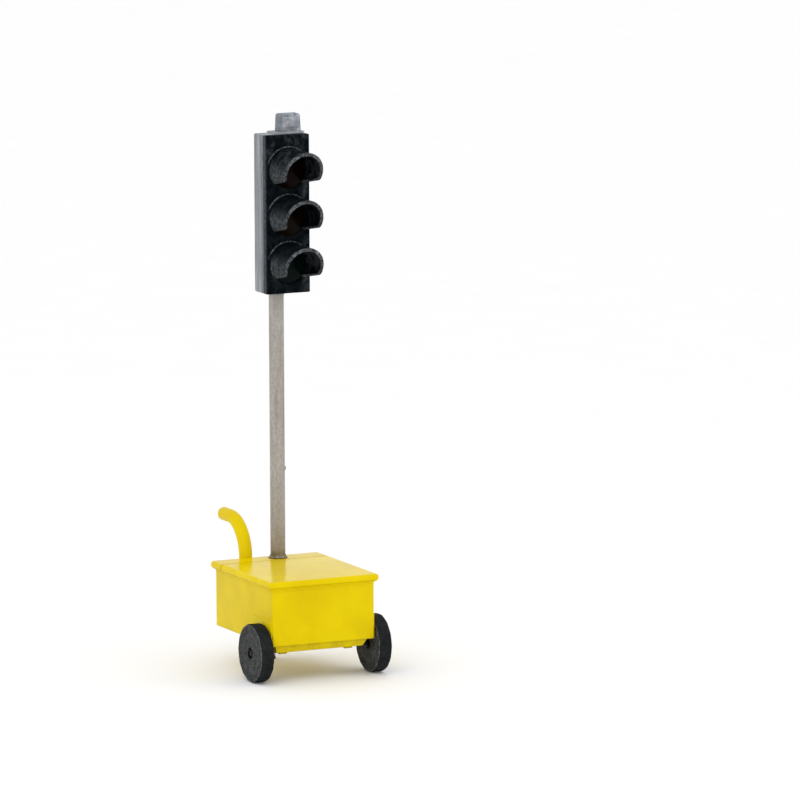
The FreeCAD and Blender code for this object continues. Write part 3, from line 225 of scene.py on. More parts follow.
def carve(piece, shape, how="DIFFERENCE"):
    """Cut another closed shape out of a piece, or join it on."""
    cutter = make_object("cutter", *shape)
    modifier = piece.modifiers.new(how.lower(), "BOOLEAN")
    modifier.object = cutter
    modifier.operation = how
    modifier.solver = "EXACT"
    applied = bpy.data.meshes.new_from_object(piece.evaluated_get(bpy.context.evaluated_depsgraph_get()))
    piece.modifiers.clear()
    piece.data = applied
    bpy.data.objects.remove(cutter)
    smooth(piece)


def cut_flat(piece, point, normal):
    """Slice a closed mesh and close the cut; what lies along the normal goes."""
    mesh = bmesh.new()
    mesh.from_mesh(piece.data)
    everything = mesh.verts[:] + mesh.edges[:] + mesh.faces[:]
    bmesh.ops.bisect_plane(mesh, geom=everything, plane_co=point, plane_no=normal, clear_outer=True)
    rim = [edge for edge in mesh.edges if edge.is_boundary]
    bmesh.ops.holes_fill(mesh, edges=rim)
    bmesh.ops.recalc_face_normals(mesh, faces=mesh.faces)
    mesh.to_mesh(piece.data)
    mesh.free()
    smooth(piece)


def bevelled(piece, width, segments=2, angle=40):
    """Round the sharp edges of a piece."""
    modifier = piece.modifiers.new("edges", "BEVEL")
    modifier.width = width
    modifier.segments = segments
    modifier.limit_method = "ANGLE"
    modifier.angle_limit = math.radians(angle)
    modifier.use_clamp_overlap = True


# ---- material helpers
class Look:
    """A procedural material under construction: one Principled shader and the nodes that feed it."""

    def __init__(self, name, **constants):
        self.material = bpy.data.materials.new(name)
        self.material.use_nodes = True
        self.nodes = self.material.node_tree.nodes
        self.links = self.material.node_tree.links
        self.shader = self.nodes["Principled BSDF"]
        self.place = self.nodes.new("ShaderNodeTexCoord").outputs["Object"]
        for socket, value in constants.items():
            self.shader.inputs[socket.replace("_", " ")].default_value = value

    def link(self, source, target):
        """Feed a socket from another node's output, or set it to a constant."""
        if isinstance(source, bpy.types.NodeSocket):
            self.links.new(source, target)
        else:
            target.default_value = source

    def node(self, kind, output, **inputs):
        """The output of a new node with its inputs fed; _ stands for a space in an input's name."""
        node = self.nodes.new("ShaderNode" + kind)
        for socket, source in inputs.items():
            self.link(source, node.inputs[socket.replace("_", " ")])
        return node.outputs[output]

    def at(self, stretch):
        """The object's own coordinates, scaled along each axis, or by one number along the height."""
        if isinstance(stretch, float):
            stretch = (1.0, 1.0, stretch)
        return self.node("Mapping", "Vector", Vector=self.place, Scale=stretch) if stretch else self.place

    def noise(self, scale, detail=4.0, rough=0.55, stretch=None, warp=0.0):
        return self.node("TexNoise", "Fac", Vector=self.at(stretch), Scale=scale, Detail=detail,
                         Roughness=rough, Distortion=warp)

    def cells(self, scale, stretch, feature="F1"):
        distance = self.node("TexVoronoi", "Distance", Vector=self.at(stretch), Scale=scale)
        distance.node.feature = feature
        return distance

    def ramp(self, source, *stops):
        """A grey or coloured ramp from (position, colour) stops."""
        node = self.nodes.new("ShaderNodeValToRGB")
        self.link(source, node.inputs["Fac"])
        ends = node.color_ramp.elements
        while len(ends) < len(stops):
            ends.new(0.5)
        for element, (position, colour) in zip(ends, stops):
            element.position = position
            element.color = (*colour, 1) if isinstance(colour, tuple) else (colour, colour, colour, 1)
        return node.outputs["Color"]

    def mottle(self, low, high, *noise, **more):
        """Noise that wanders between two values or colours."""
        return self.ramp(self.noise(*noise, **more), (0.3, low), (0.7, high))

    def spots(self, start, full, *noise, top=1.0, **more):
        """Noise as spots: 0 below start, top above full."""
        return self.ramp(self.noise(*noise, **more), (start, 0.0), (full, top))

    def calc(self, how, a, b=0.0, clamp=False):
        node = self.nodes.new("ShaderNodeMath")
        node.operation = how
        node.use_clamp = clamp
        self.link(a, node.inputs[0])
        self.link(b, node.inputs[1])
        return node.outputs[0]

    def plus(self, a, b, clamp=False):
        return self.calc("ADD", a, b, clamp)

    def times(self, first, *others, clamp=False):
        for other in others:
            first = self.calc("MULTIPLY", first, other, clamp)
        return first

    def most(self, a, b):
        return self.calc("MAXIMUM", a, b)

    def length(self, a, b):
        """Length of the vector with these two components."""
        return self.calc("POWER", self.plus(self.calc("POWER", a, 2), self.calc("POWER", b, 2)), 0.5)

    def axis(self, name):
        return self.node("SeparateXYZ", name, Vector=self.place)

    def band(self, source, low, high, at_low=0.0, at_high=1.0):
        """source mapped smoothly from low..high to at_low..at_high, held at the ends."""
        result = self.node("MapRange", "Result", Value=source, From_Min=low, From_Max=high, To_Min=at_low,
                           To_Max=at_high)
        result.node.interpolation_type = "SMOOTHSTEP"
        return result

    def mix(self, factor, a, b, how="MIX"):
        node = self.nodes.new("ShaderNodeMix")
        node.data_type = "RGBA"
        node.blend_type = how
        self.link(factor, node.inputs["Factor"])
        for source, target in ((a, node.inputs["A"]), (b, node.inputs["B"])):
            self.link((*source, 1) if isinstance(source, tuple) else source, target)
        return node.outputs["Result"]

    def wear(self):
        """The piece's own wear numbers, 0 where it has none; on the visors they also hold painted highlight
        and flank dust.
        """
        wear = self.node("Attribute", "Fac")
        wear.node.attribute_name = "wear"
        return wear

    def edges(self, low, high):
        """1 on convex edges, 0 on flats."""
        return self.band(self.node("NewGeometry", "Pointiness"), low, high)

    def rubbed(self, tone, colour, share, sharpest=0.6):
        """Convex edges rubbed towards a colour."""
        return self.mix(self.times(self.edges(0.51, sharpest), share), tone, colour)

    def bump(self, height, strength, distance, under=None):
        below = {"Normal": under} if under else {}
        return self.node("Bump", "Normal", Strength=strength, Distance=distance, Height=height, **below)

    def grain(self, strength, distance, *noise, under=None, **more):
        """A bump from noise, on top of another normal."""
        return self.bump(self.noise(*noise, **more), strength, distance, under)

    def done(self, colour, rough, normal=None, metal=None):
        fed = {"Base Color": colour, "Roughness": rough, "Normal": normal, "Metallic": metal}
        for socket, source in fed.items():
            if source is not None:
                self.link(source, self.shader.inputs[socket])
        return self.material


def scaled(colour, share):
    return tuple(share * c for c in colour)


# ---- paint and metals
BOX_FOLD = (0.2, 0.186)  # heights in metres between which the dirt on the tub's lower fold sets in
BOX_FOOT = (0.27, 0.18)
LID_GLOSS_FROM = (0.484, 0.492)
LID_GLOSS_TO = (0.545, 0.525)
WHEEL_SIDE = (0.26, 0.28)  # distance from the middle at which the wheel hardware, dark with grease and painted shade, begins


def yellow_paint():
    look = Look("yellow_paint", IOR=1.4, Specular_IOR_Level=0.09)
    tone = look.ramp(look.noise(5, 3, 0.5), (0.35, (0.74, 0.545, 0.0)), (0.65, (0.81, 0.62, 0.0)))
    fleck = look.ramp(look.noise(420, 3, 0.6), (0.35, 0.95), (0.7, 1.0))
    tone = look.mix(1.0, tone, fleck, "MULTIPLY")
    height = look.axis("Z")
    cloud = look.spots(0.42, 0.72, 14, 6, 0.65, warp=0.4)
    crusts = look.ramp(look.noise(30, 5, 0.7), (0.3, 0.25), (0.65, 1.0))
    fold = look.times(look.band(height, *BOX_FOLD), crusts)
    low_dirt = look.times(look.band(height, *BOX_FOOT), cloud)
    grime = look.plus(look.times(low_dirt, 0.1), look.times(fold, 0.45), clamp=True)
    tone = look.mix(grime, tone, (0.24, 0.185, 0.012))
    streak = look.times(look.spots(0.6, 0.8, 22, 4, 0.6, stretch=0.12), 0.08)
    tone = look.mix(streak, tone, (0.5, 0.38, 0.01))
    worn = look.times(look.edges(0.53, 0.66), look.spots(0.6, 0.64, 170, 5, 0.7))
    tone = look.mix(look.times(worn, 0.45), tone, (0.36, 0.29, 0.1))
    top_gloss = look.times(look.band(height, *LID_GLOSS_FROM), look.band(height, *LID_GLOSS_TO))
    rough = look.mix(top_gloss, look.mottle(0.3, 0.42, 9, 4, 0.6), look.mottle(0.13, 0.2, 7, 3, 0.5))
    rough = look.mix(grime, rough, (0.7, 0.7, 0.7))
    wave = look.grain(0.22, 0.003, 4.5, 1, 0.4)
    return look.done(tone, rough, look.grain(0.12, 0.0005, 260, 2, 0.5, under=wave))


def mast_steel():
    """Weathered zinc: spangle and rain streaks, with dirt where the mast stands in its collar on the deck."""
    look = Look("mast_steel", IOR=1.5)
    tone = look.ramp(look.noise(9, 4, 0.6, stretch=(3.0, 3.0, 0.5)), (0.36, (0.31, 0.285, 0.255)),
                     (0.66, (0.405, 0.38, 0.348)))
    spangle = look.ramp(look.cells(95, 0.55), (0.1, 0.86), (0.75, 1.08))
    tone = look.mix(1.0, tone, spangle, "MULTIPLY")
    run = look.spots(0.52, 0.78, 55, 5, 0.65, stretch=0.045, top=0.5)
    tone = look.mix(run, tone, (0.2, 0.165, 0.125))
    height = look.axis("Z")
    blotch = look.ramp(look.noise(24, 5, 0.7, stretch=0.4), (0.34, 0.2), (0.62, 1.0))
    open_air = look.band(height, 0.495, 0.515)
    foot = look.times(look.band(height, 0.74, 0.54), open_air, blotch)
    tone = look.mix(look.times(foot, 0.55), tone, (0.19, 0.135, 0.07))
    splash = look.times(look.band(height, 0.575, 0.535), open_air, blotch)
    tone = look.mix(splash, tone, (0.13, 0.095, 0.022))
    ring = look.times(look.band(height, 0.526, 0.521), open_air)
    tone = look.mix(ring, tone, (0.045, 0.025, 0.008))
    wave = look.grain(0.1, 0.002, 14, 2, 0.5, stretch=0.3)
    surface = look.grain(0.1, 0.0005, 420, 3, 0.6, under=wave)
    return look.done(tone, look.mottle(0.42, 0.6, 40, 4, 0.6), surface, 0.35)


def near_wheels(look):
    return look.band(look.calc("ABSOLUTE", look.axis("X")), *WHEEL_SIDE)


def bright_steel():
    """Plated fasteners: rust spots, grease and painted shade by the wheels, where the axle nuts sit in the
    hubs' recesses, and paint on the signal head.
    """
    look = Look("bright_steel", Specular_IOR_Level=0.2)
    tone = look.mottle((0.09, 0.088, 0.085), (0.2, 0.2, 0.198), 120, 4, 0.6)
    rust = look.spots(0.5, 0.66, 45, 6, 0.7, top=0.9)
    tone = look.mix(rust, tone, (0.04, 0.024, 0.014))
    head_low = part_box("head_housing")[0].z
    painted = look.band(look.axis("Z"), head_low - 0.01, head_low)
    # by the wheels the steel is darkened for grease and as painted shade in the hubs' recesses; on the signal
    # head it is painted black
    grease_paint_and_shade = look.most(near_wheels(look), painted)
    tone = look.mix(grease_paint_and_shade, tone, (0.003, 0.003, 0.003))
    metal = look.times(look.band(rust, 0.2, 0.8, 1.0, 0.25), look.band(grease_paint_and_shade, 0, 1, 1, 0))
    rough = look.mottle(0.4, 0.62, 160, 4, 0.6)
    return look.done(tone, rough, look.grain(0.14, 0.0004, 500, 3, 0.6), metal)


def bronze():
    look = Look("bronze", Specular_IOR_Level=0.2)
    tone = look.mottle((0.4, 0.27, 0.11), (0.62, 0.45, 0.2), 90, 4, 0.6)
    # by the wheels the bronze is darkened for grease and as painted shade in the hubs' recesses
    grease_and_shade = near_wheels(look)
    tone = look.mix(grease_and_shade, tone, (0.004, 0.004, 0.003))
    metal = look.band(grease_and_shade, 0, 1, 1, 0)
    rough = look.mottle(0.25, 0.5, 140, 4, 0.6)
    return look.done(tone, rough, look.grain(0.1, 0.0003, 600, 2), metal)


def chrome():
    look = Look("reflector_chrome", Metallic=1.0)
    tone = look.mottle((0.72, 0.72, 0.73), (0.86, 0.86, 0.86), 40, 4, 0.6)
    haze = look.ramp(look.noise(18, 5, 0.65), (0.35, 0.05), (0.75, 0.2))
    return look.done(tone, haze, look.grain(0.05, 0.001, 26, 2, 0.5))


# ---- plastics of the signal head
BEZEL_INSIDE = (0.1125, 0.114)
BEZEL_OUTSIDE = (0.119, 0.1172)


def bezel_highlight(look):
    """1 on the upper arc of the bezel round each visor, a worn edge that also carries a painted highlight, 0
    elsewhere; the lenses are evenly spaced.
    """
    lens = middle("lens_green")
    spacing = middle("lens_amber").z - lens.z
    across = look.plus(look.axis("X"), -lens.x)
    from_low = look.plus(look.axis("Z"), spacing / 2 - lens.z)
    up = look.plus(look.calc("MODULO", from_low, spacing), -spacing / 2)
    radius = look.length(across, up)
    ring = look.times(look.band(radius, *BEZEL_INSIDE), look.band(radius, *BEZEL_OUTSIDE))
    forward = look.band(look.axis("Y"), lens.y + 0.012, lens.y + 0.006)
    return look.times(ring, look.band(up, 0.02, 0.07), forward)


def dust_mask(look):
    """Cloudy dust on the signal door: most above the red aspect and along the right edge, least elsewhere."""
    top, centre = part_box("door_panel")[1].z, middle("lens_red").x
    above = look.band(look.axis("Z"), top - 0.15, top - 0.09)
    right = look.band(look.axis("X"), centre + 0.03, centre + 0.095)
    where = look.most(look.most(above, right), 0.25)
    cloud = look.spots(0.46, 0.62, 11, 6, 0.75, stretch=(1.4, 1.4, 0.8), warp=0.8)
    speck = look.ramp(look.noise(120, 4, 0.7), (0.4, 0.25), (0.66, 1.0))
    return look.times(cloud, speck, where)


def door_side_mask(look):
    """Paler patches on the left side of the signal door, least at its front edge."""
    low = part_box("door_panel")[0]
    side = look.band(look.axis("X"), low.x + 0.003, low.x + 0.001)
    depth = look.band(look.axis("Y"), low.y + 0.004, low.y + 0.03)
    up = look.band(look.axis("Z"), low.z - 0.002, low.z)
    return look.times(side, depth, up)


def black_plastic():
    look = Look("black_plastic", IOR=1.35, Specular_IOR_Level=0.02)
    tone = look.ramp(look.noise(16, 6, 0.65, warp=0.5), (0.35, (0.0016, 0.003, 0.0045)),
                     (0.62, (0.0036, 0.0056, 0.0076)), (0.8, (0.011, 0.015, 0.018)))
    tone = look.mix(dust_mask(look), tone, (0.06, 0.068, 0.075))
    # visor lips and lower flanks paler: the lips for wear, brightest on their shoulders as a painted
    # highlight, the flanks for dust
    tone = look.mix(look.times(look.wear(), 0.45, clamp=True), tone, (0.038, 0.042, 0.046))
    patchy = look.spots(0.41, 0.6, 60, 6, 0.76)
    side_pale = look.times(door_side_mask(look), look.band(patchy, 0.0, 1.0, 0.45, 0.95))
    tone = look.mix(side_pale, tone, (0.088, 0.096, 0.106))
    # bare patches on the visor lips and on the bezels' upper arcs, where they also carry a painted highlight
    worn = look.times(look.most(look.wear(), bezel_highlight(look)), patchy)
    tone = look.mix(look.times(worn, 0.75, clamp=True), tone, (0.18, 0.19, 0.2))
    fine = look.grain(0.18, 0.0005, 1100, 3, 0.6)
    soft = look.grain(0.16, 0.0022, 26, 3, 0.5, under=fine)
    return look.done(tone, look.mottle(0.6, 0.8, 35, 4, 0.6), soft)


def grey_plastic():
    """Streaked grey, with painted shade beside the door and pale rubbed edges."""
    look = Look("grey_plastic", IOR=1.45, Specular_IOR_Level=0.3)
    tone = look.ramp(look.noise(6, 4, 0.6), (0.35, (0.19, 0.208, 0.226)), (0.66, (0.25, 0.268, 0.286)))
    dark_run = look.spots(0.42, 0.66, 34, 5, 0.65, stretch=0.05, top=0.9)
    tone = look.mix(dark_run, tone, (0.085, 0.094, 0.104))
    pale_run = look.spots(0.5, 0.7, 47, 5, 0.65, stretch=(1.2, 1.2, 0.06), top=0.8)
    tone = look.mix(pale_run, tone, (0.4, 0.425, 0.45))
    tone = look.mix(look.spots(0.42, 0.7, 95, 5, 0.7, top=0.35), tone, (0.36, 0.38, 0.4))
    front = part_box("head_housing")[0].y
    shade = look.band(look.axis("Y"), front + 0.05, front + 0.004)
    shade_patches = look.ramp(look.noise(70, 5, 0.7, stretch=0.25), (0.34, 0.45), (0.62, 0.95))
    tone = look.rubbed(tone, (0.46, 0.48, 0.49), 0.5)
    # painted shade on the housing towards the door, in patches
    tone = look.mix(look.times(shade, shade_patches), tone, (0.075, 0.086, 0.1))
    fine = look.grain(0.16, 0.0006, 700, 3, 0.6)
    soft = look.grain(0.16, 0.0025, 18, 3, 0.5, under=fine)
    return look.done(tone, look.mottle(0.5, 0.68, 50, 4, 0.6), soft)


def detector_plastic():
    """Coarse, stained light grey, darker to the left."""
    look = Look("detector_plastic", IOR=1.45, Specular_IOR_Level=0.3)
    tone = look.ramp(look.noise(42, 6, 0.76), (0.38, (0.105, 0.118, 0.145)), (0.51, (0.255, 0.275, 0.315)),
                     (0.64, (0.5, 0.52, 0.56)))
    stain = look.spots(0.46, 0.66, 16, 5, 0.65, warp=0.6, top=0.7)
    tone = look.mix(stain, tone, (0.15, 0.166, 0.19))
    centre = middle("detector_housing").x
    left = look.times(look.band(look.axis("X"), centre - 0.03, centre - 0.058), 0.45)
    tone = look.mix(left, tone, (0.14, 0.155, 0.178))
    tone = look.rubbed(tone, (0.56, 0.58, 0.6), 0.4, 0.58)
    return look.done(tone, look.mottle(0.5, 0.7, 80, 3), look.grain(0.45, 0.0018, 190, 5, 0.7))


def lens_look(name, deep, bright):
    """Dark tinted acrylic with a fine prism grid moulded into it."""
    look = Look(name, IOR=1.42, Specular_IOR_Level=0.06)
    tone = look.ramp(look.noise(12, 4, 0.6), (0.35, deep), (0.7, bright))
    grid = look.cells(170, (1.0, 0.3, 1.0), "SMOOTH_F1")
    tone = look.mix(look.ramp(grid, (0.0, 0.55), (0.6, 0.0)), tone, scaled(deep, 0.4))
    film = look.spots(0.55, 0.8, 26, 5, 0.7, top=0.25)
    tone = look.mix(film, tone, (0.006, 0.006, 0.006))
    return look.done(tone, look.mottle(0.12, 0.28, 30, 4, 0.6), look.bump(grid, 0.5, 0.0016))


def lamp_glass():
    look = Look("lamp_glass", Transmission_Weight=0.85, IOR=1.46)
    tone = look.mottle((0.8, 0.8, 0.77), (0.95, 0.95, 0.93), 60, 3, 0.6)
    frost = look.ramp(look.noise(35, 4, 0.6), (0.35, 0.08), (0.7, 0.25))
    return look.done(tone, frost, look.grain(0.05, 0.0004, 200, 2))


def moulded(name, dark, light, low=0.38, high=0.6):
    """Small moulded plastic parts: mottled colour, fine grain, paler edges."""
    look = Look(name, IOR=1.48)
    tone = look.ramp(look.noise(30, 5, 0.65), (0.35, dark), (0.68, light))
    tone = look.rubbed(tone, tuple(min(1.0, 1.8 * c + 0.02) for c in light), 0.4)
    return look.done(tone, look.mottle(low, high, 70, 4, 0.6), look.grain(0.2, 0.0004, 800, 3, 0.6))


# ---- rubber and wheels
WHEEL_DARK = (0.016, 0.0175, 0.0175)
WHEEL_LIGHT = (0.07, 0.073, 0.073)
TREAD_FROM = (0.1425, 0.1445)
SHOULDER_FROM = (0.1375, 0.1395)
SHOULDER_TO = (0.1445, 0.143)
RECESS_EDGE = (0.018, 0.013)


def wheel_radius(look):
    """Distance from the line of the axle."""
    centre = middle("tyre_left")
    return look.length(look.plus(look.axis("Y"), -centre.y), look.plus(look.axis("Z"), -centre.z))


def rubber_tone(look, dark, light, scale=1.0):
    """Mottled rubber with dusty specks, pits and paler edges."""
    tone = look.ramp(look.noise(22 * scale, 6, 0.7, warp=0.4), (0.36, dark), (0.68, light))
    dust = look.spots(0.5, 0.7, 130 * scale, 5, 0.75, top=0.6)
    tone = look.mix(dust, tone, scaled(light, 2.4))
    pit = look.ramp(look.noise(70 * scale, 5, 0.7), (0.36, 0.75), (0.46, 0.0))
    tone = look.mix(pit, tone, scaled(dark, 0.3))
    return look.rubbed(tone, scaled(light, 2.0), 0.45)


def rubber_surface(look, tone):
    fine = look.grain(0.55, 0.0022, 300, 5, 0.7)
    lumpy = look.grain(0.5, 0.006, 40, 3, 0.6, under=fine)
    return look.done(tone, look.mottle(0.62, 0.85, 60, 4, 0.6), lumpy)


def rubber(name, dark, light, scale=1.0):
    look = Look(name, IOR=1.45, Specular_IOR_Level=0.18)
    return rubber_surface(look, rubber_tone(look, dark, light, scale))


def tyre_rubber():
    """Solid tyres: dusty sides, a pale shoulder of scuffs and painted highlight, and a dark tread."""
    look = Look("tyre_rubber", IOR=1.42, Specular_IOR_Level=0.1)
    tone = rubber_tone(look, WHEEL_DARK, WHEEL_LIGHT)
    radius = wheel_radius(look)
    tread = look.times(look.band(radius, *TREAD_FROM), 0.8)
    tone = look.mix(tread, tone, (0.005, 0.006, 0.007))
    shoulder = look.times(look.band(radius, *SHOULDER_FROM), look.band(radius, *SHOULDER_TO))
    # the pale band round the shoulder is a painted highlight on the tyre's rounded edge, broken up like
    # scuffs
    scuff_and_highlight = look.times(shoulder, look.spots(0.44, 0.6, 90, 5, 0.75, top=0.8))
    return rubber_surface(look, look.mix(scuff_and_highlight, tone, (0.17, 0.18, 0.185)))


def hub_plastic():
    """Moulded hub: as dusty as the tyre, with painted shade and black grease in and around the axle recess.
    """
    look = Look("hub_plastic", IOR=1.42, Specular_IOR_Level=0.1)
    tone = rubber_tone(look, WHEEL_DARK, WHEEL_LIGHT, 1.3)
    ragged = look.plus(wheel_radius(look), look.times(look.noise(48, 4, 0.6), -0.03))
    # near-black in the axle recess and round its ragged mouth: painted shade in the hollow, with grease
    recess = look.band(ragged, *RECESS_EDGE)
    return rubber_surface(look, look.mix(recess, tone, (0.002, 0.002, 0.002)))


LOOKS = {
    "yellow_paint": yellow_paint(),
    "galvanised_steel": mast_steel(),
    "bright_steel": bright_steel(),
    "dark_rubber": rubber("dark_rubber", (0.012, 0.011, 0.01), (0.03, 0.028, 0.025)),
    "tyre_rubber": tyre_rubber(),
    "hub_plastic": hub_plastic(),
    "bronze": bronze(),
    "black_plastic": black_plastic(),
    "grey_plastic": grey_plastic(),
    "detector_plastic": detector_plastic(),
    "lens_red": lens_look("lens_red", (0.0035, 0.0008, 0.0008), (0.009, 0.0015, 0.0015)),
    "lens_amber": lens_look("lens_amber", (0.0036, 0.0021, 0.0008), (0.009, 0.005, 0.0015)),
    "lens_green": lens_look("lens_green", (0.0008, 0.004, 0.003), (0.0015, 0.01, 0.007)),
    "reflector_chrome": chrome(),
    "lamp_glass": lamp_glass(),
    "battery_plastic": moulded("battery_plastic", (0.012, 0.012, 0.013), (0.026, 0.026, 0.028)),
    "cable_rubber": rubber("cable_rubber", (0.008, 0.008, 0.008), (0.02, 0.02, 0.02), 2.0),
    "board_laminate": moulded("board_laminate", (0.008, 0.085, 0.035), (0.016, 0.14, 0.06), 0.3, 0.45),
    "button_plastic": moulded("button_plastic", (0.012, 0.16, 0.05), (0.02, 0.24, 0.08), 0.2, 0.35),
}
SLOT_OF = {part["node"]: part["material_slot"] for part in frame["record"]["subparts"]}
BODY_OF = {node: body for body, members in frame["record"]["behaviour"]["bodies"].items() for node in members}


# ---- pieces and the nodes that they stand for
def paint(thing, slot):
    """Give an object the look of a slot as its only material."""
    thing.data.materials.clear()
    thing.data.materials.append(LOOKS[slot])


def dress(piece, node):
    """Give a new piece its node's look, body and slot, and let it stand for the node."""
    paint(piece, SLOT_OF[node])
    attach(piece, BODY_OF[node])
    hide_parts(node)


def extra(piece, body, slot):
    """A small piece that stands for no node of its own."""
    paint(piece, slot)
    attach(piece, body)


def dress_cad_nodes():
    """Every CAD node that stays shown takes the look of its slot."""
    for name, thing in frame["nodes"].items():
        paint(thing, SLOT_OF[name])


def build(name, shape, node, **more):
    """Make a piece from a finished shape and let it stand for a node."""
    dress(make_object(name, *shape, **more), node)


def softened(node, width=0.8 * MM, segments=2):
    """The node's own shape with its flat faces merged and its sharp edges rounded."""
    mesh = bmesh.new()
    mesh.from_mesh(frame["nodes"][node].data)
    bmesh.ops.remove_doubles(mesh, verts=mesh.verts, dist=1e-5)
    bmesh.ops.dissolve_limit(mesh, angle_limit=math.radians(0.5), verts=mesh.verts, edges=mesh.edges)
    data = bpy.data.meshes.new(f"{node}_piece")
    mesh.to_mesh(data)
    mesh.free()
    piece = smooth(placed(f"{node}_piece", data))
    bevelled(piece, width, segments, 32)
    dress(piece, node)


# ---- trolley box, lid and deck
WALL = 3 * MM
FLARE_REACH = 17 * MM
FLARE_ROUND = 16 * MM
FLANGE = 4 * MM
FLANGE_INSIDE = 18 * MM
BOX_CORNER = 8 * MM
RIM_ROUND = 15 * MM
RIM_UNDER = 8 * MM
RIM_DEPTH = 18 * MM
SKIN = 4 * MM
DECK_CORNER = 18 * MM
LID_BORDER = 37 * MM
OVERRUN = 60 * MM  # a slab is first made this much longer, and then cut flat at the seam
LIP = 0.5 * MM


def tub_section(bottom, top):
    """Section of the tub: folded bottom, bead, concave flare, flange and inside."""
    under = top - FLANGE
    flare_low = under - FLARE_ROUND
    outside = [(x - WALL, bottom + WALL + y) for x, y in arc((0, 0), WALL, -90, 0, 4)]
    bead = [(0, flare_low - 5 * MM), (0.9 * MM, flare_low - 3.4 * MM), (1.1 * MM, flare_low - 1.6 * MM),
            (0.4 * MM, flare_low)]
    flare = arc((FLARE_ROUND, flare_low), FLARE_ROUND, 180, 90, 10)
    lip = [(FLARE_REACH, under + LIP), (FLARE_REACH, top - LIP), (FLARE_REACH - LIP, top)]
    inside = [(-FLANGE_INSIDE + LIP, top), (-FLANGE_INSIDE, top - LIP), (-FLANGE_INSIDE, under),
              (-WALL, under), (-WALL, bottom + 2 * WALL), (-2 * WALL, bottom + WALL)]
    return outside + bead + flare[1:] + lip + inside


def make_tub():
    """The box with the hole for the mast's socket and a cross rail under the hinge line."""
    box_low, box_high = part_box("box_body")
    top, under = box_high.z, box_high.z - FLANGE
    low = (box_low.x + FLARE_REACH, box_low.y + FLARE_REACH)
    high = (box_high.x - FLARE_REACH, box_high.y - FLARE_REACH)
    tub = make_object("tub", *rect_loft(tub_section(box_low.z, top), low, high, BOX_CORNER))
    carve(tub, rod(half("mast_socket", "y") + LIP, under - WALL, top + WALL, below("mast_tube")))
    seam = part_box("rear_deck")[0].y
    rail_low = (low[0] + WALL, seam - 35.5 * MM, under)
    rail_high = (high[0] - WALL, seam + 11.5 * MM, top)
    web_low = (rail_low[0], rail_high[1] - WALL, under - 30 * MM)
    carve(tub, rounded_box(rail_low, rail_high, LIP), "UNION")
    carve(tub, rounded_box(web_low, (rail_high[0], rail_high[1], under), LIP), "UNION")
    dress(tub, "box_body")


def slab_profile(bottom, top, rebate):
    """Section of the moulded slab from its top edge over the rim to the edge of its hollow."""
    over = arc((-RIM_ROUND, top - RIM_ROUND), RIM_ROUND, 90, 0, 12)
    under = arc((-RIM_UNDER, bottom + RIM_UNDER), RIM_UNDER, 0, -90, 8)
    step = [(-RIM_DEPTH, bottom), (-RIM_DEPTH, bottom + rebate)] if rebate else []
    return over + under + step


def make_slab(name, node, low, high, hollow_low, hollow_high, rebate):
    """A rounded slab with a hollow moulded into its underside."""
    bottom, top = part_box(node)[0].z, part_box(node)[1].z
    rings = [rect_ring(low, high, grow, height, DECK_CORNER, 1.5 * MM)
             for grow, height in slab_profile(bottom, top, rebate)]
    fillet, roof = 4 * MM, top - SKIN
    for grow, height in ((0, bottom + rebate), (0, roof - fillet), (-fillet, roof)):
        rings.append(rect_ring(hollow_low, hollow_high, grow, height, 6 * MM, fillet))
    return make_object(name, *loft(rings))


def make_lid():
    low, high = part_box("lid")
    hollow_low = (low.x + LID_BORDER, low.y + LID_BORDER)
    hollow_high = (high.x - LID_BORDER, high.y - 16 * MM)
    whole_high = (high.x, high.y + OVERRUN)
    slab = make_slab("lid_shell", "lid", (low.x, low.y), whole_high, hollow_low, hollow_high, 4 * MM)
    cut_flat(slab, (0, high.y, 0), (0, 1, 0))
    carve(slab, rounded_box(*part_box("padlock_lug_lid"), 0.3 * MM))
    bevelled(slab, 0.9 * MM)
    dress(slab, "lid")


def make_deck():
    low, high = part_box("rear_deck")
    hollow_low = (low.x + LID_BORDER, low.y + 5 * MM)
    hollow_high = (high.x - LID_BORDER, high.y - LID_BORDER)
    whole_low = (low.x, low.y - OVERRUN)
    slab = make_slab("deck_shell", "rear_deck", whole_low, (high.x, high.y), hollow_low, hollow_high, 0)
    cut_flat(slab, (0, low.y, 0), (0, -1, 0))
    carve(slab, rod(half("mast_socket", "y"), low.z - WALL, high.z + WALL, below("mast_tube")))
    bevelled(slab, 0.9 * MM)
    dress(slab, "rear_deck")


# ---- wheels
FACETS = 14
FACET_SHARE = 0.55
FACET_FROM = 118 * MM
FACET_FADE = 20 * MM
TYRE_EDGE = 9 * MM
RECESS = 22 * MM
RECESS_DEPTH = 15 * MM


def worn_round(angle, radius, height):
    """Solid tyres wear to shallow flats; the hub side stays round."""
    if radius < FACET_FROM:
        return radius
    sector = 2 * math.pi / FACETS
    off = (angle + math.pi / 2 + sector / 2) % sector - sector / 2
    flat = math.cos(sector / 2) / math.cos(off)
    share = FACET_SHARE * min(1.0, (radius - FACET_FROM) / FACET_FADE)
    wobble = 1 + 0.0012 * math.sin(3 * angle + 1)
    return radius * (1 - share + share * flat) * min(wobble, 1.0)


def broken_edge(angle, radius, height):
    """The mouth of the hub's recess is chipped and no longer round."""
    if height < 0 or not RECESS - 0.1 * MM < radius < RECESS + 6 * MM:
        return radius
    return radius + 1.6 * MM * (math.sin(3 * angle + 0.6) + 0.6 * math.sin(7 * angle) + 1)


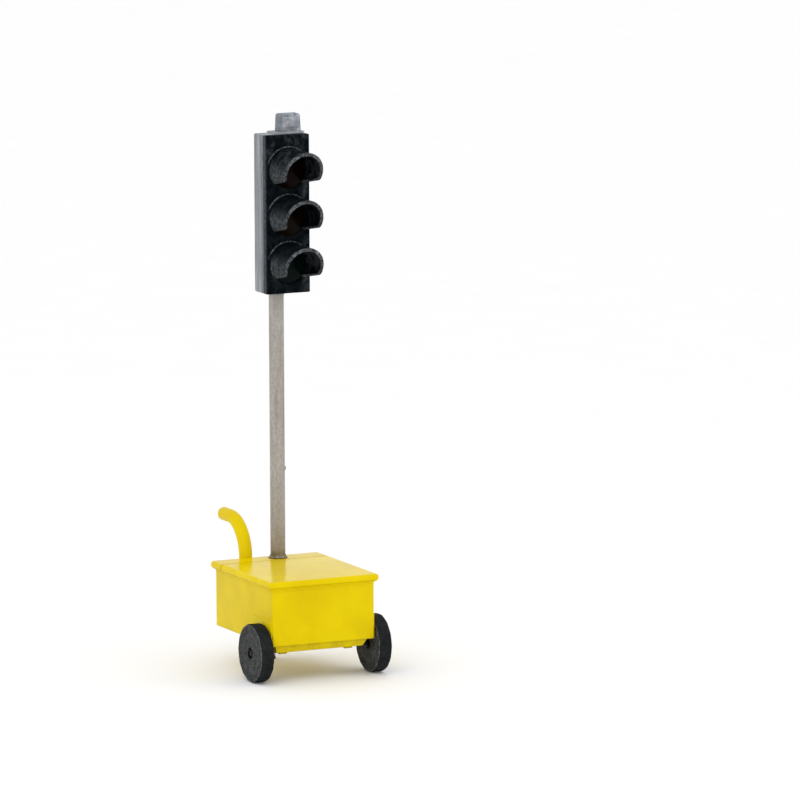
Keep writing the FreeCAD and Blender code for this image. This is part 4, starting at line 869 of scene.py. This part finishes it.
def make_tyre(side, axis, bore):
    outer, wide = half(f"tyre_{side}", "z"), half(f"tyre_{side}", "x")
    right = [(bore, 0), (bore, wide - 2.6 * MM), (bore + 1.2 * MM, wide - 1.2 * MM),
             (bore + 5 * MM, wide - 0.4 * MM), (outer - 22 * MM, wide), (outer - TYRE_EDGE - 1 * MM, wide)]
    right += arc((outer - TYRE_EDGE, wide - TYRE_EDGE), TYRE_EDGE, 90, 0, 8)
    right += [(outer, 14 * MM), (outer, 0)]
    profile = right + [(r, -h) for r, h in reversed(right[1:-1])]
    shape = lathe(profile, middle(f"tyre_{side}"), axis, 168, True, worn_round)
    build(f"tyre_{side}_solid", shape, f"tyre_{side}", sharp_deg=40)


def make_hub(side, axis, bore):
    wide, bush = half(f"hub_{side}", "x"), half(f"bush_{side}", "z")
    floor = wide - RECESS_DEPTH
    face = [(bush, floor), (RECESS - 2 * MM, floor), (RECESS, floor + 2 * MM), (RECESS, wide - 3 * MM),
            (RECESS + 1.5 * MM, wide - 0.8 * MM), (RECESS + 5 * MM, wide), (bore - 20 * MM, wide),
            (bore - 1.5 * MM, wide), (bore, wide - 1.5 * MM)]
    back = [(bore, -wide + 1.5 * MM), (bore - 1.5 * MM, -wide), (bush + 14 * MM, -wide),
            (bush + 12 * MM, -wide), (bush, -wide)]
    shape = lathe(face + back, middle(f"tyre_{side}"), axis, 96, True, broken_edge)
    build(f"hub_{side}_core", shape, f"hub_{side}")


def make_wheel(side, axis):
    bore = half(f"hub_{side}", "z")
    make_tyre(side, axis, bore)
    make_hub(side, axis, bore)


# ---- mast and handle
MAST_STEPS = 24
CLIP_SCREW_RISE = 6.5 * MM
BEND = 187 * MM
PLUG_CAP = 3 * MM


def make_mast():
    low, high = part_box("mast_tube")
    radius = half("mast_tube", "x")
    edge, inner = 0.6 * MM, radius - WALL
    profile = [(inner, low.z), (radius - edge, low.z), (radius, low.z + edge)]
    profile += [(radius, low.z + (high.z - low.z) * i / MAST_STEPS) for i in range(1, MAST_STEPS)]
    profile += [(radius, high.z - edge), (radius - edge, high.z), (inner, high.z)]
    build("mast_pipe", lathe(profile, below("mast_tube"), "Z", 80, True), "mast_tube")


def make_collar():
    """A boot that flares from the mast down to the deck."""
    low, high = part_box("mast_collar")
    radius, base = half("mast_tube", "x"), half("mast_collar", "x")
    neck, bore, rim = radius + 2.5 * MM, radius + 0.4 * MM, base - 2 * MM
    start, rise = low.z + 3.4 * MM, high.z - low.z - 4.4 * MM
    boot = [(bore, low.z), (base - 0.8 * MM, low.z), (base, low.z + 0.8 * MM), (base, low.z + 2 * MM),
            (base - 1 * MM, low.z + 3 * MM)]
    boot += [(neck + (rim - neck) * (1 - t) ** 1.9, start + rise * t)
             for t in (0.0, 0.15, 0.3, 0.45, 0.6, 0.8, 1.0)]
    boot += [(neck - 0.8 * MM, high.z), (bore, high.z)]
    build("mast_boot", lathe(boot, below("mast_tube"), "Z", 72, True), "mast_collar")


def make_clip_screw():
    """The domed screw of the cable clip, drawn larger than the node so that it shows as in the photo."""
    low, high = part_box("mast_screw")
    at = middle("mast_screw")
    crown = 1.6 * (high.z - low.z) / 2
    face, sunk, shank = high.x - 4 * MM, -4 * MM, 4 * MM
    dome = ((0.35, 0.94), (0.62, 0.74), (0.84, 0.42), (0.96, 0.14), (1.0, 0.0))
    head = [(TIP, CLIP_SCREW_RISE)] + [(crown * wide, CLIP_SCREW_RISE * up) for wide, up in dome]
    head += [(crown, sunk), (shank, sunk), (shank, low.x - face), (TIP, low.x - face)]
    build("clip_screw", lathe(head, (face, at.y, at.z), "X", 40), "mast_screw")


def make_handle():
    """A bent tube, open at the foot, with a rubber plug in its upper end."""
    low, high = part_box("handle_tube")
    radius = half("handle_tube", "x")
    x, y, top = (low.x + high.x) / 2, low.y + radius, high.z - radius
    path = [Vector((x, y, low.z + (top - BEND - low.z) * i / 12)) for i in range(12)]
    start = len(path)
    path += [Vector((x, y + BEND + py, top - BEND + pz)) for py, pz in arc((0, 0), BEND, 180, 90, 24)]
    stop = len(path)
    path += [Vector((x, y + BEND + (high.y - y - BEND) * i / 6, top)) for i in range(1, 7)]

    def section(i):
        """The bend squeezes the tube a little, narrower towards its centre and wider across."""
        if not start <= i < stop:
            return radius, radius
        squeeze = 0.022 * math.sin(math.pi * (i - start) / (stop - start))
        return radius * (1 + 0.3 * squeeze), radius * (1 - squeeze)
    handle = make_object("handle_pipe", *swept(path, section, 48))
    inner = radius - 3 * MM
    carve(handle, rod(inner, low.z - WALL, low.z + 60 * MM, (x, y, 0)))
    carve(handle, rod(inner, -30 * MM, WALL, (x, high.y, top), "Y"))
    bevelled(handle, 0.5 * MM, angle=32)
    dress(handle, "handle_tube")
    make_plug(x, top, radius, inner)


def make_plug(x, z, radius, inner):
    """The handle's end plug: a domed cap on a hollow stem."""
    low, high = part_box("handle_plug")
    face = high.y - PLUG_CAP
    deep, core = low.y - face, inner - 3 * MM
    profile = [(TIP, PLUG_CAP), (radius * 0.72, PLUG_CAP), (radius - 1.6 * MM, PLUG_CAP - 0.3 * MM),
               (radius - 0.3 * MM, PLUG_CAP * 0.55), (radius, 0), (inner, 0), (inner, deep), (core, deep),
               (core, -1 * MM), (TIP, -1 * MM)]
    build("handle_cap", lathe(profile, (x, face, z), "Y", 56), "handle_plug")


# ---- signal head
COLOURS = ("red", "amber", "green")
HEAD_WIDTH = 240 * MM
HEAD_EDGE = 7 * MM
DOOR_EDGE = 6 * MM
DOOR_WALL = 4 * MM
DOOR_SEAM = 0.4 * MM
BARREL = 5 * MM
BARREL_LENGTH = 29.6 * MM
PIN_HOLE = 2.7 * MM
LENS_HOLE = 96 * MM
GASKET_HOLE = 101 * MM
BOSS_RADIUS = 117 * MM
BOSS_HEIGHT = 9 * MM
SOCKET_HOLE = 42.5 * MM


def barrel_shapes(side):
    """Hinge barrels of the housing (side 1) or of the door below them (side -1), with their webs."""
    low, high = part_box("door_hinge_pins")
    x, y = (low.x + high.x) / 2, (low.y + high.y) / 2
    shapes = []
    for place in (60 * MM, 690 * MM):
        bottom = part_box("head_housing")[0].z + place + (30 * MM if side > 0 else 0)
        top = bottom + BARREL_LENGTH
        profile = [(PIN_HOLE, bottom), (BARREL - LIP, bottom), (BARREL, bottom + LIP), (BARREL, top - LIP),
                   (BARREL - LIP, top), (PIN_HOLE, top)]
        shapes.append(lathe(profile, (x, y, 0), "Z", 32, True))
        near, far = y + side * 0.6 * MM, y + side * 6.6 * MM
        web_low, web_high = (x - 8 * MM, min(near, far), bottom), (x - 3.2 * MM, max(near, far), top)
        shapes.append(rounded_box(web_low, web_high, 0.5 * MM))
    return shapes


def make_housing():
    low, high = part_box("head_housing")
    right = low.x + HEAD_WIDTH
    front = middle("door_hinge_pins").y
    outer = rounded_box((low.x, front, low.z), (right, high.y, high.z), HEAD_EDGE, 5)
    housing = make_object("housing", *outer)
    cut_flat(housing, (0, front + 0.2 * MM, 0), (0, -1, 0))
    room_low = (low.x + DOOR_WALL, front - 30 * MM, low.z + DOOR_WALL)
    room_high = (right - DOOR_WALL, high.y - DOOR_WALL, high.z - DOOR_WALL)
    carve(housing, rounded_box(room_low, room_high, 5 * MM))
    carve(housing, rod(SOCKET_HOLE, low.z - 10 * MM, low.z + 10 * MM, below("mast_tube")))
    bevelled(housing, 0.8 * MM)
    dress(housing, "head_housing")
    extra(make_object("housing_barrels", *joined(*barrel_shapes(1))), "head", "grey_plastic")


def boss_shape(centre, front):
    """Raised bezel with a rounded rim round a visor."""
    inner, rim, round_edge = LENS_HOLE - 6 * MM, BOSS_RADIUS, 4 * MM
    profile = [(inner, -2 * MM), (inner, BOSS_HEIGHT), (rim - round_edge, BOSS_HEIGHT)]
    profile += arc((rim - round_edge, BOSS_HEIGHT - round_edge), round_edge, 80, 0, 6)
    profile += [(rim + 0.5 * MM, 1.5 * MM), (rim + 2 * MM, 0), (rim + 2 * MM, -2 * MM)]
    return lathe(profile, (centre.x, front, centre.z), "-Y", 96, True)


def make_door():
    low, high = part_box("door_panel")
    right, front = low.x + HEAD_WIDTH, low.y + BOSS_HEIGHT
    back = middle("door_hinge_pins").y - DOOR_SEAM
    outer = rounded_box((low.x, front, low.z), (right, back + 20 * MM, high.z), DOOR_EDGE, 5)
    door = make_object("door", *outer)
    cut_flat(door, (0, back, 0), (0, 1, 0))
    room_low = (low.x + DOOR_WALL, front + DOOR_WALL, low.z + DOOR_WALL)
    room_high = (right - DOOR_WALL, back + 30 * MM, high.z - DOOR_WALL)
    carve(door, rounded_box(room_low, room_high, 5 * MM))
    for colour in COLOURS:
        carve(door, boss_shape(middle(f"lens_{colour}"), front), "UNION")
    seat = 5 * MM
    hole = [(LENS_HOLE, -20 * MM), (LENS_HOLE, seat), (GASKET_HOLE, seat), (GASKET_HOLE, 60 * MM)]
    for colour in COLOURS:
        centre = middle(f"lens_{colour}")
        carve(door, lathe(hole, (centre.x, low.y, centre.z), "Y", 96))
    bevelled(door, 0.5 * MM)
    dress(door, "door_panel")
    extra(make_object("door_barrels", *joined(*barrel_shapes(-1))), "door", "black_plastic")


# ---- visors and lenses
VISOR_RADIUS = 108 * MM
VISOR_TOP = 222 * MM
VISOR_LOW = 166 * MM
VISOR_RISE = 42 * MM
VISOR_DROP = 72 * MM
VISOR_ROUND = 30 * MM
VISOR_WALL = 5 * MM
ROLLED_EDGE = 7 * MM
LOW_STEPS, CORNER_STEPS, FRONT_STEPS = 14, 11, 30
LENS_RADIUS = 95.5 * MM
LENS_SAG = 12 * MM
LENS_THICK = 4 * MM


def visor_outline():
    """Side view of the visor's edge from its lower end over the round corner to its top."""
    start, corner = Vector((0, -VISOR_DROP)), Vector((VISOR_LOW, -VISOR_RISE))
    end = Vector((VISOR_TOP, VISOR_RADIUS))
    back, ahead = (start - corner).normalized(), (end - corner).normalized()
    opening = back.angle(ahead)
    reach = VISOR_ROUND / math.tan(opening / 2)
    first, last = corner + back * reach, corner + ahead * reach
    centre = corner + (back + ahead).normalized() * VISOR_ROUND / math.sin(opening / 2)
    spoke = first - centre
    turn = spoke.angle_signed(last - centre)
    points = [start.lerp(first, i / LOW_STEPS) for i in range(LOW_STEPS)]
    for i in range(CORNER_STEPS + 1):
        cos, sin = math.cos(-turn * i / CORNER_STEPS), math.sin(-turn * i / CORNER_STEPS)
        points.append(centre + Vector((spoke.x * cos - spoke.y * sin, spoke.x * sin + spoke.y * cos)))
    # equal steps round the barrel give the slanted front an even mesh
    low_turn = math.acos(last.y / VISOR_RADIUS)
    for i in range(1, FRONT_STEPS + 1):
        height = VISOR_RADIUS * math.cos(low_turn * (1 - i / FRONT_STEPS))
        points.append(last.lerp(end, (height - last.y) / (end.y - last.y)))
    return points


def visor_section():
    """Section of the rolled edge: (distance from the edge, distance inward from the outside)."""
    outer = [(12, 0), (8, 0)] + arc((4, 4), 4, -90, -180, 4)
    lip = [(0, 9)] + arc((3, 15), 3, 180, 90, 3) + arc((6, 15), 3, 90, 0, 3)
    root = [(9, 8)] + arc((12, 8), 3, 180, 270, 3)[1:]
    return [(u * MM, v * MM) for u, v in outer + lip + root]


def flank_dust(way):
    """Dust lies on the lower sides of a visor, from the middle of its flank downwards."""
    turn = abs(way) / VISOR_RADIUS
    share = min(1.0, max(0.0, (turn - 0.9) / 0.8))
    return 0.5 * share * share * (3 - 2 * share)


def lip_wear_and_highlight(way):
    """The rolled edge is rubbed bare all round, and carries a painted highlight on its shoulders, halfway
    down each side.
    """
    off = (abs(way) / VISOR_RADIUS - 0.7) / 0.35
    return 0.6 + 0.7 * math.exp(-off * off)


def visor_wall(here, inward, section):
    """Points round the wall at one place of the edge: (way round, depth, distance inward, wear with painted
    highlight).
    """
    edge = []
    for u, v in section:
        spot = here + inward * u
        # the rolled edge: wear, with a painted highlight on its shoulders
        rolled = max(0.0, 1 - u / ROLLED_EDGE) * lip_wear_and_highlight(spot.x)
        flank = flank_dust(spot.x) if v < 1 * MM else 0
        edge.append((spot.x, max(spot.y, 0), v, max(rolled, flank)))
    first, last = edge[0], edge[-1]
    outside = [(first[0], first[1] * share, 0, flank_dust(first[0])) for share in (0, 0.4, 0.75)]
    inside = [(last[0], last[1] * share, VISOR_WALL, 0) for share in (0.75, 0.4, 0)]
    return outside + edge + inside


def visor_rings(centre, base):
    """One closed ring of points round the shell wall for every point of the edge, and its wear with painted
    highlight.
    """
    side = [Vector((VISOR_RADIUS * math.acos(max(-1, min(1, p.y / VISOR_RADIUS))), p.x))
            for p in visor_outline()]
    edge = side + [Vector((-p.x, p.y)) for p in reversed(side[:-1])]
    section = visor_section()
    rings, wear = [], []
    for i, here in enumerate(edge):
        along = (edge[min(i + 1, len(edge) - 1)] - edge[max(i - 1, 0)]).normalized()
        inward = Vector((along.y, -along.x))
        if inward.dot(Vector((-here.x, -here.y))) < 0:
            inward = -inward
        ring = []
        for way, depth, v, mark in visor_wall(here, inward, section):
            turn, radius = way / VISOR_RADIUS, VISOR_RADIUS - v
            across, up = radius * math.sin(turn), radius * math.cos(turn)
            ring.append(Vector((centre.x + across, base - depth, centre.z + up)))
            wear.append(mark)
        rings.append(ring)
    return rings, wear


def make_visor(colour):
    """Cowl visor: a shell with a rolled lip that follows its front and lower edges, on a flat collar."""
    centre, base = middle(f"visor_{colour}"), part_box(f"visor_{colour}")[1].y
    rings, wear = visor_rings(centre, base)
    inner, outer, thick = VISOR_RADIUS - VISOR_WALL, VISOR_RADIUS + 4 * MM, 4 * MM
    collar = [(inner, 0), (VISOR_RADIUS + 3.4 * MM, 0), (outer, 0.6 * MM), (outer, 3.2 * MM),
              (VISOR_RADIUS + 3.2 * MM, thick), (inner, thick)]
    foot = lathe(collar, (centre.x, base, centre.z), "-Y", 96, True)
    points, faces = joined(loft(rings), foot)
    wear += [0.0] * (len(points) - len(wear))
    build(f"visor_{colour}_cowl", (points, faces), f"visor_{colour}", sharp_deg=40, wear=wear)


def make_lens(colour):
    """A domed lens with a flat rim behind it."""
    centre, rim = middle(f"lens_{colour}"), half(f"lens_{colour}", "x")
    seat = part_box(f"lens_{colour}")[1].y - LENS_THICK
    sphere = (LENS_RADIUS ** 2 + LENS_SAG ** 2) / (2 * LENS_SAG)
    front = [(LENS_RADIUS * t, math.sqrt(sphere ** 2 - (LENS_RADIUS * t) ** 2) - sphere + LENS_SAG)
             for t in (0.001, 0.12, 0.25, 0.38, 0.5, 0.62, 0.74, 0.85, 0.94, 1.0)]
    back = [(r, h - LENS_THICK) for r, h in reversed(front[:-2])]
    profile = front + [(rim, 0), (rim, -LENS_THICK), (rim - 9 * MM, -LENS_THICK)] + back
    shape = lathe(profile, (centre.x, seat, centre.z), "-Y", 96)
    build(f"lens_{colour}_dome", shape, f"lens_{colour}")


def make_reflectors():
    """Three parabolic bowls."""
    low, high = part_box("reflectors")
    rim, neck, deep = 99 * MM, 15 * MM, high.y - low.y
    inner = [(neck + (rim - 3 * MM - neck) * i / 10, deep * (1 - (i / 10) ** 2)) for i in range(11)]
    outer = [(r + 1.8 * MM, h + 1.0 * MM) for r, h in inner]
    profile = inner + [(rim, 0), (rim, 2 * MM)] + outer[-2::-1]
    profile = [(r, min(h, deep)) for r, h in profile]
    centres = [middle(f"lens_{colour}") for colour in COLOURS]
    shapes = [lathe(profile, (centre.x, low.y, centre.z), "Y", 96, True) for centre in centres]
    build("reflector_bowls", joined(*shapes), "reflectors")


# ---- head socket and detector
def make_head_socket():
    """The flared collar under the head, with the cap inside that rests on the mast's end."""
    low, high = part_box("head_socket")
    flare = half("head_socket", "x")
    bore, cable_hole = half("mast_tube", "x") + 0.05 * MM, 24 * MM
    under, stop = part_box("head_housing")[0].z, high.z - 5.7 * MM
    profile = [(bore, low.z), (flare - 9.5 * MM, low.z), (flare - 8.5 * MM, low.z + 1 * MM),
               (flare - 7.5 * MM, low.z + 5 * MM), (flare - 4 * MM, low.z + 10 * MM),
               (flare, under - 1.5 * MM), (flare, under), (SOCKET_HOLE, under), (SOCKET_HOLE, high.z),
               (cable_hole, high.z), (cable_hole, stop), (bore, stop)]
    build("mast_cap_socket", lathe(profile, below("mast_tube"), "Z", 72, True), "head_socket")


def detector_section(bottom, top, edge):
    """Sides that lean in a little, with a rounded top edge."""
    lean, start = 3.0 * MM, bottom + 2.5 * MM
    base = [(-2.5 * MM, bottom), (-0.8 * MM, bottom + 0.5 * MM), (0, start)]
    sides = [(-lean * t, start + (top - bottom - edge - 2.5 * MM) * t) for t in (0.25, 0.5, 0.75, 1.0)]
    return base + sides + [(-lean - edge + x, top - edge + y) for x, y in arc((0, 0), edge, 0, 90, 8)][1:]


def make_detector():
    """The detector's box with a hollow behind its window, and the window."""
    low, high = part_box("detector_housing")
    edge = 13 * MM
    form = rect_loft(detector_section(low.z, high.z, edge), (low.x, low.y), (high.x, high.y), edge)
    housing = make_object("detector_case", *form)
    cover_low, cover_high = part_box("detector_cover")
    room_low = (cover_low.x, low.y - 20 * MM, cover_low.z)
    carve(housing, rounded_box(room_low, (cover_high.x, cover_high.y + 30 * MM, cover_high.z), 4 * MM))
    carve(housing, rod(9.05 * MM, low.z - 5 * MM, low.z + 19 * MM, below("detector_housing")))
    bevelled(housing, 0.6 * MM)
    dress(housing, "detector_housing")
    window = rounded_box((cover_low.x, cover_low.y - 4 * MM, cover_low.z), cover_high, 1.5 * MM)
    build("detector_window", window, "detector_cover")


# ---- battery bay
BATTERY_DEPTH = 223 * MM
BATTERY_LID = 34 * MM
CELLS = 6
RIBS = 9


def battery_shapes(low, high, front):
    """One battery: case, stepped lid, cell caps and ribs."""
    back, shoulder, inset = front + BATTERY_DEPTH, high.z - BATTERY_LID, 5 * MM
    yield rounded_box((low.x, front, low.z), (high.x, back, shoulder), 4 * MM)
    lid_low = (low.x + inset, front + inset, shoulder - 8 * MM)
    yield rounded_box(lid_low, (high.x - inset, back - inset, high.z), 4 * MM)
    cap = [(TIP, 3.4 * MM), (9 * MM, 3.4 * MM), (11 * MM, 2.2 * MM), (11 * MM, -2 * MM), (TIP, -2 * MM)]
    for i in range(CELLS):
        x = low.x + (high.x - low.x) * (i + 0.5) / CELLS
        yield lathe(cap, (x, front + BATTERY_DEPTH * 0.28, high.z), "Z", 24)
    proud, wide = 1.4 * MM, 3 * MM
    for i in range(RIBS):
        x = low.x + (high.x - low.x) * (i + 1) / (RIBS + 1)
        rib_low = (x - wide, front - proud, low.z + 20 * MM)
        yield rounded_box(rib_low, (x + wide, back + proud, shoulder - 12 * MM), 1 * MM, 2)


def make_batteries():
    low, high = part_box("batteries")
    fore, aft = battery_shapes(low, high, low.y), battery_shapes(low, high, high.y - BATTERY_DEPTH)
    build("battery_cases", joined(*fore, *aft), "batteries")


def make_controller():
    """Case, panel, knob and button, with five raised ticks round the knob."""
    softened("controller_case")
    softened("controller_panel")
    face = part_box("controller_panel")[1].z - 5 * MM
    centre = middle("selector_knob").xy.to_3d()
    ticks = []
    for turn in (-60, -30, 0, 30, 60):
        along = Vector((math.sin(math.radians(turn)), math.cos(math.radians(turn)), 0))
        across = Vector((along.y, -along.x, 0)) * 0.9 * MM
        near, far = centre + along * 24 * MM, centre + along * 32 * MM
        base = [near - across, near + across, far + across, far - across]
        ticks.append(loft([[(p.x, p.y, face + z) for p in base] for z in (-0.2 * MM, 0.5 * MM)]))
    extra(make_object("selector_ticks", *joined(*ticks)), "trolley", "detector_plastic")
    softened("selector_knob", 1.2 * MM, 3)
    softened("push_button", 1.0 * MM, 3)


SOFTENED = ("axle_beam", "side_plates", "plate_rivets", "axle_clamps", "axle_fasteners", "frame_bolts",
            "rear_foot", "foot_pads", "handle_brackets", "padlock_lug_box", "padlock_lug_lid",
            "battery_clamp", "battery_terminals", "door_screws", "detector_base", "circuit_board", "lid_seal")


# ---- stage
FLOOR_HALF = 40
WORLD_STRENGTH = 1.03
LIGHT_AIM = (0, 0, 1.2)


def make_stage():
    """A near-white floor and a white world."""
    corners = [(-1, -1), (1, -1), (1, 1), (-1, 1)]
    floor = make_object("floor", [(x * FLOOR_HALF, y * FLOOR_HALF, 0) for x, y in corners], [(0, 1, 2, 3)])
    look = Look("floor_paper", Roughness=0.9)
    floor.data.materials.append(look.done(look.mottle(0.955, 0.965, 2, 2), None))
    world = bpy.data.worlds.new("studio")
    bpy.context.scene.world = world
    world.use_nodes = True
    background = world.node_tree.nodes["Background"].inputs
    background["Color"].default_value = (1, 1, 1, 1)
    background["Strength"].default_value = WORLD_STRENGTH
    bpy.context.scene.view_settings.view_transform = "Standard"


def add_light(name, place, size, power):
    light = bpy.data.lights.new(name, "AREA")
    light.shape = "SQUARE"
    light.size = size
    light.energy = power
    lamp = placed(name, light)
    lamp.location = place
    lamp.rotation_mode = "QUATERNION"
    lamp.rotation_quaternion = (Vector(LIGHT_AIM) - Vector(place)).to_track_quat("-Z", "Y")
    lamp.visible_camera = False


CAMERA_AZIMUTH = -24.4
CAMERA_ELEVATION = 8.67
CAMERA_ROLL = 0.25
CAMERA_DISTANCE = 40.0
CAMERA_LENS = 356.8
AIM_LOW = 3.2 * MM
AIM_RIGHT = 0.597
AIM_DOWN = 0.0396


def make_camera():
    """A long lens from the front left; the object stands left of the middle of the picture."""
    turn, lift = math.radians(CAMERA_AZIMUTH), math.radians(CAMERA_ELEVATION)
    back = Vector((math.sin(turn) * math.cos(lift), -math.cos(turn) * math.cos(lift), math.sin(lift)))
    right = Vector((math.cos(turn), math.sin(turn), 0))
    up = back.cross(right)
    centre = Vector((0, 0, (CAD_BOX[0].z + CAD_BOX[1].z) / 2 - AIM_LOW))
    place = centre + back * CAMERA_DISTANCE
    aim = centre + right * AIM_RIGHT - up * AIM_DOWN
    data = bpy.data.cameras.new("camera")
    data.lens = CAMERA_LENS
    data.sensor_width = 36
    data.clip_end = 200
    camera = placed("camera", data)
    camera.location = place
    camera.rotation_mode = "QUATERNION"
    roll = Matrix.Rotation(math.radians(-CAMERA_ROLL), 4, "Z").to_quaternion()
    camera.rotation_quaternion = (aim - place).to_track_quat("-Z", "Y") @ roll
    bpy.context.scene.camera = camera


def make_everything():
    dress_cad_nodes()
    make_tub()
    make_lid()
    make_deck()
    make_wheel("left", "-X")
    make_wheel("right", "X")
    make_mast()
    make_collar()
    make_clip_screw()
    make_handle()
    make_housing()
    make_door()
    for colour in COLOURS:
        make_visor(colour)
        make_lens(colour)
    make_reflectors()
    make_head_socket()
    make_detector()
    make_batteries()
    make_controller()
    for node in SOFTENED:
        softened(node)
    make_stage()
    add_light("key", (-3.5, -5.0, 6.0), 3.0, 60)
    add_light("fill", (5.0, -4.0, 3.0), 3.5, 15)
    make_camera()


make_everything()
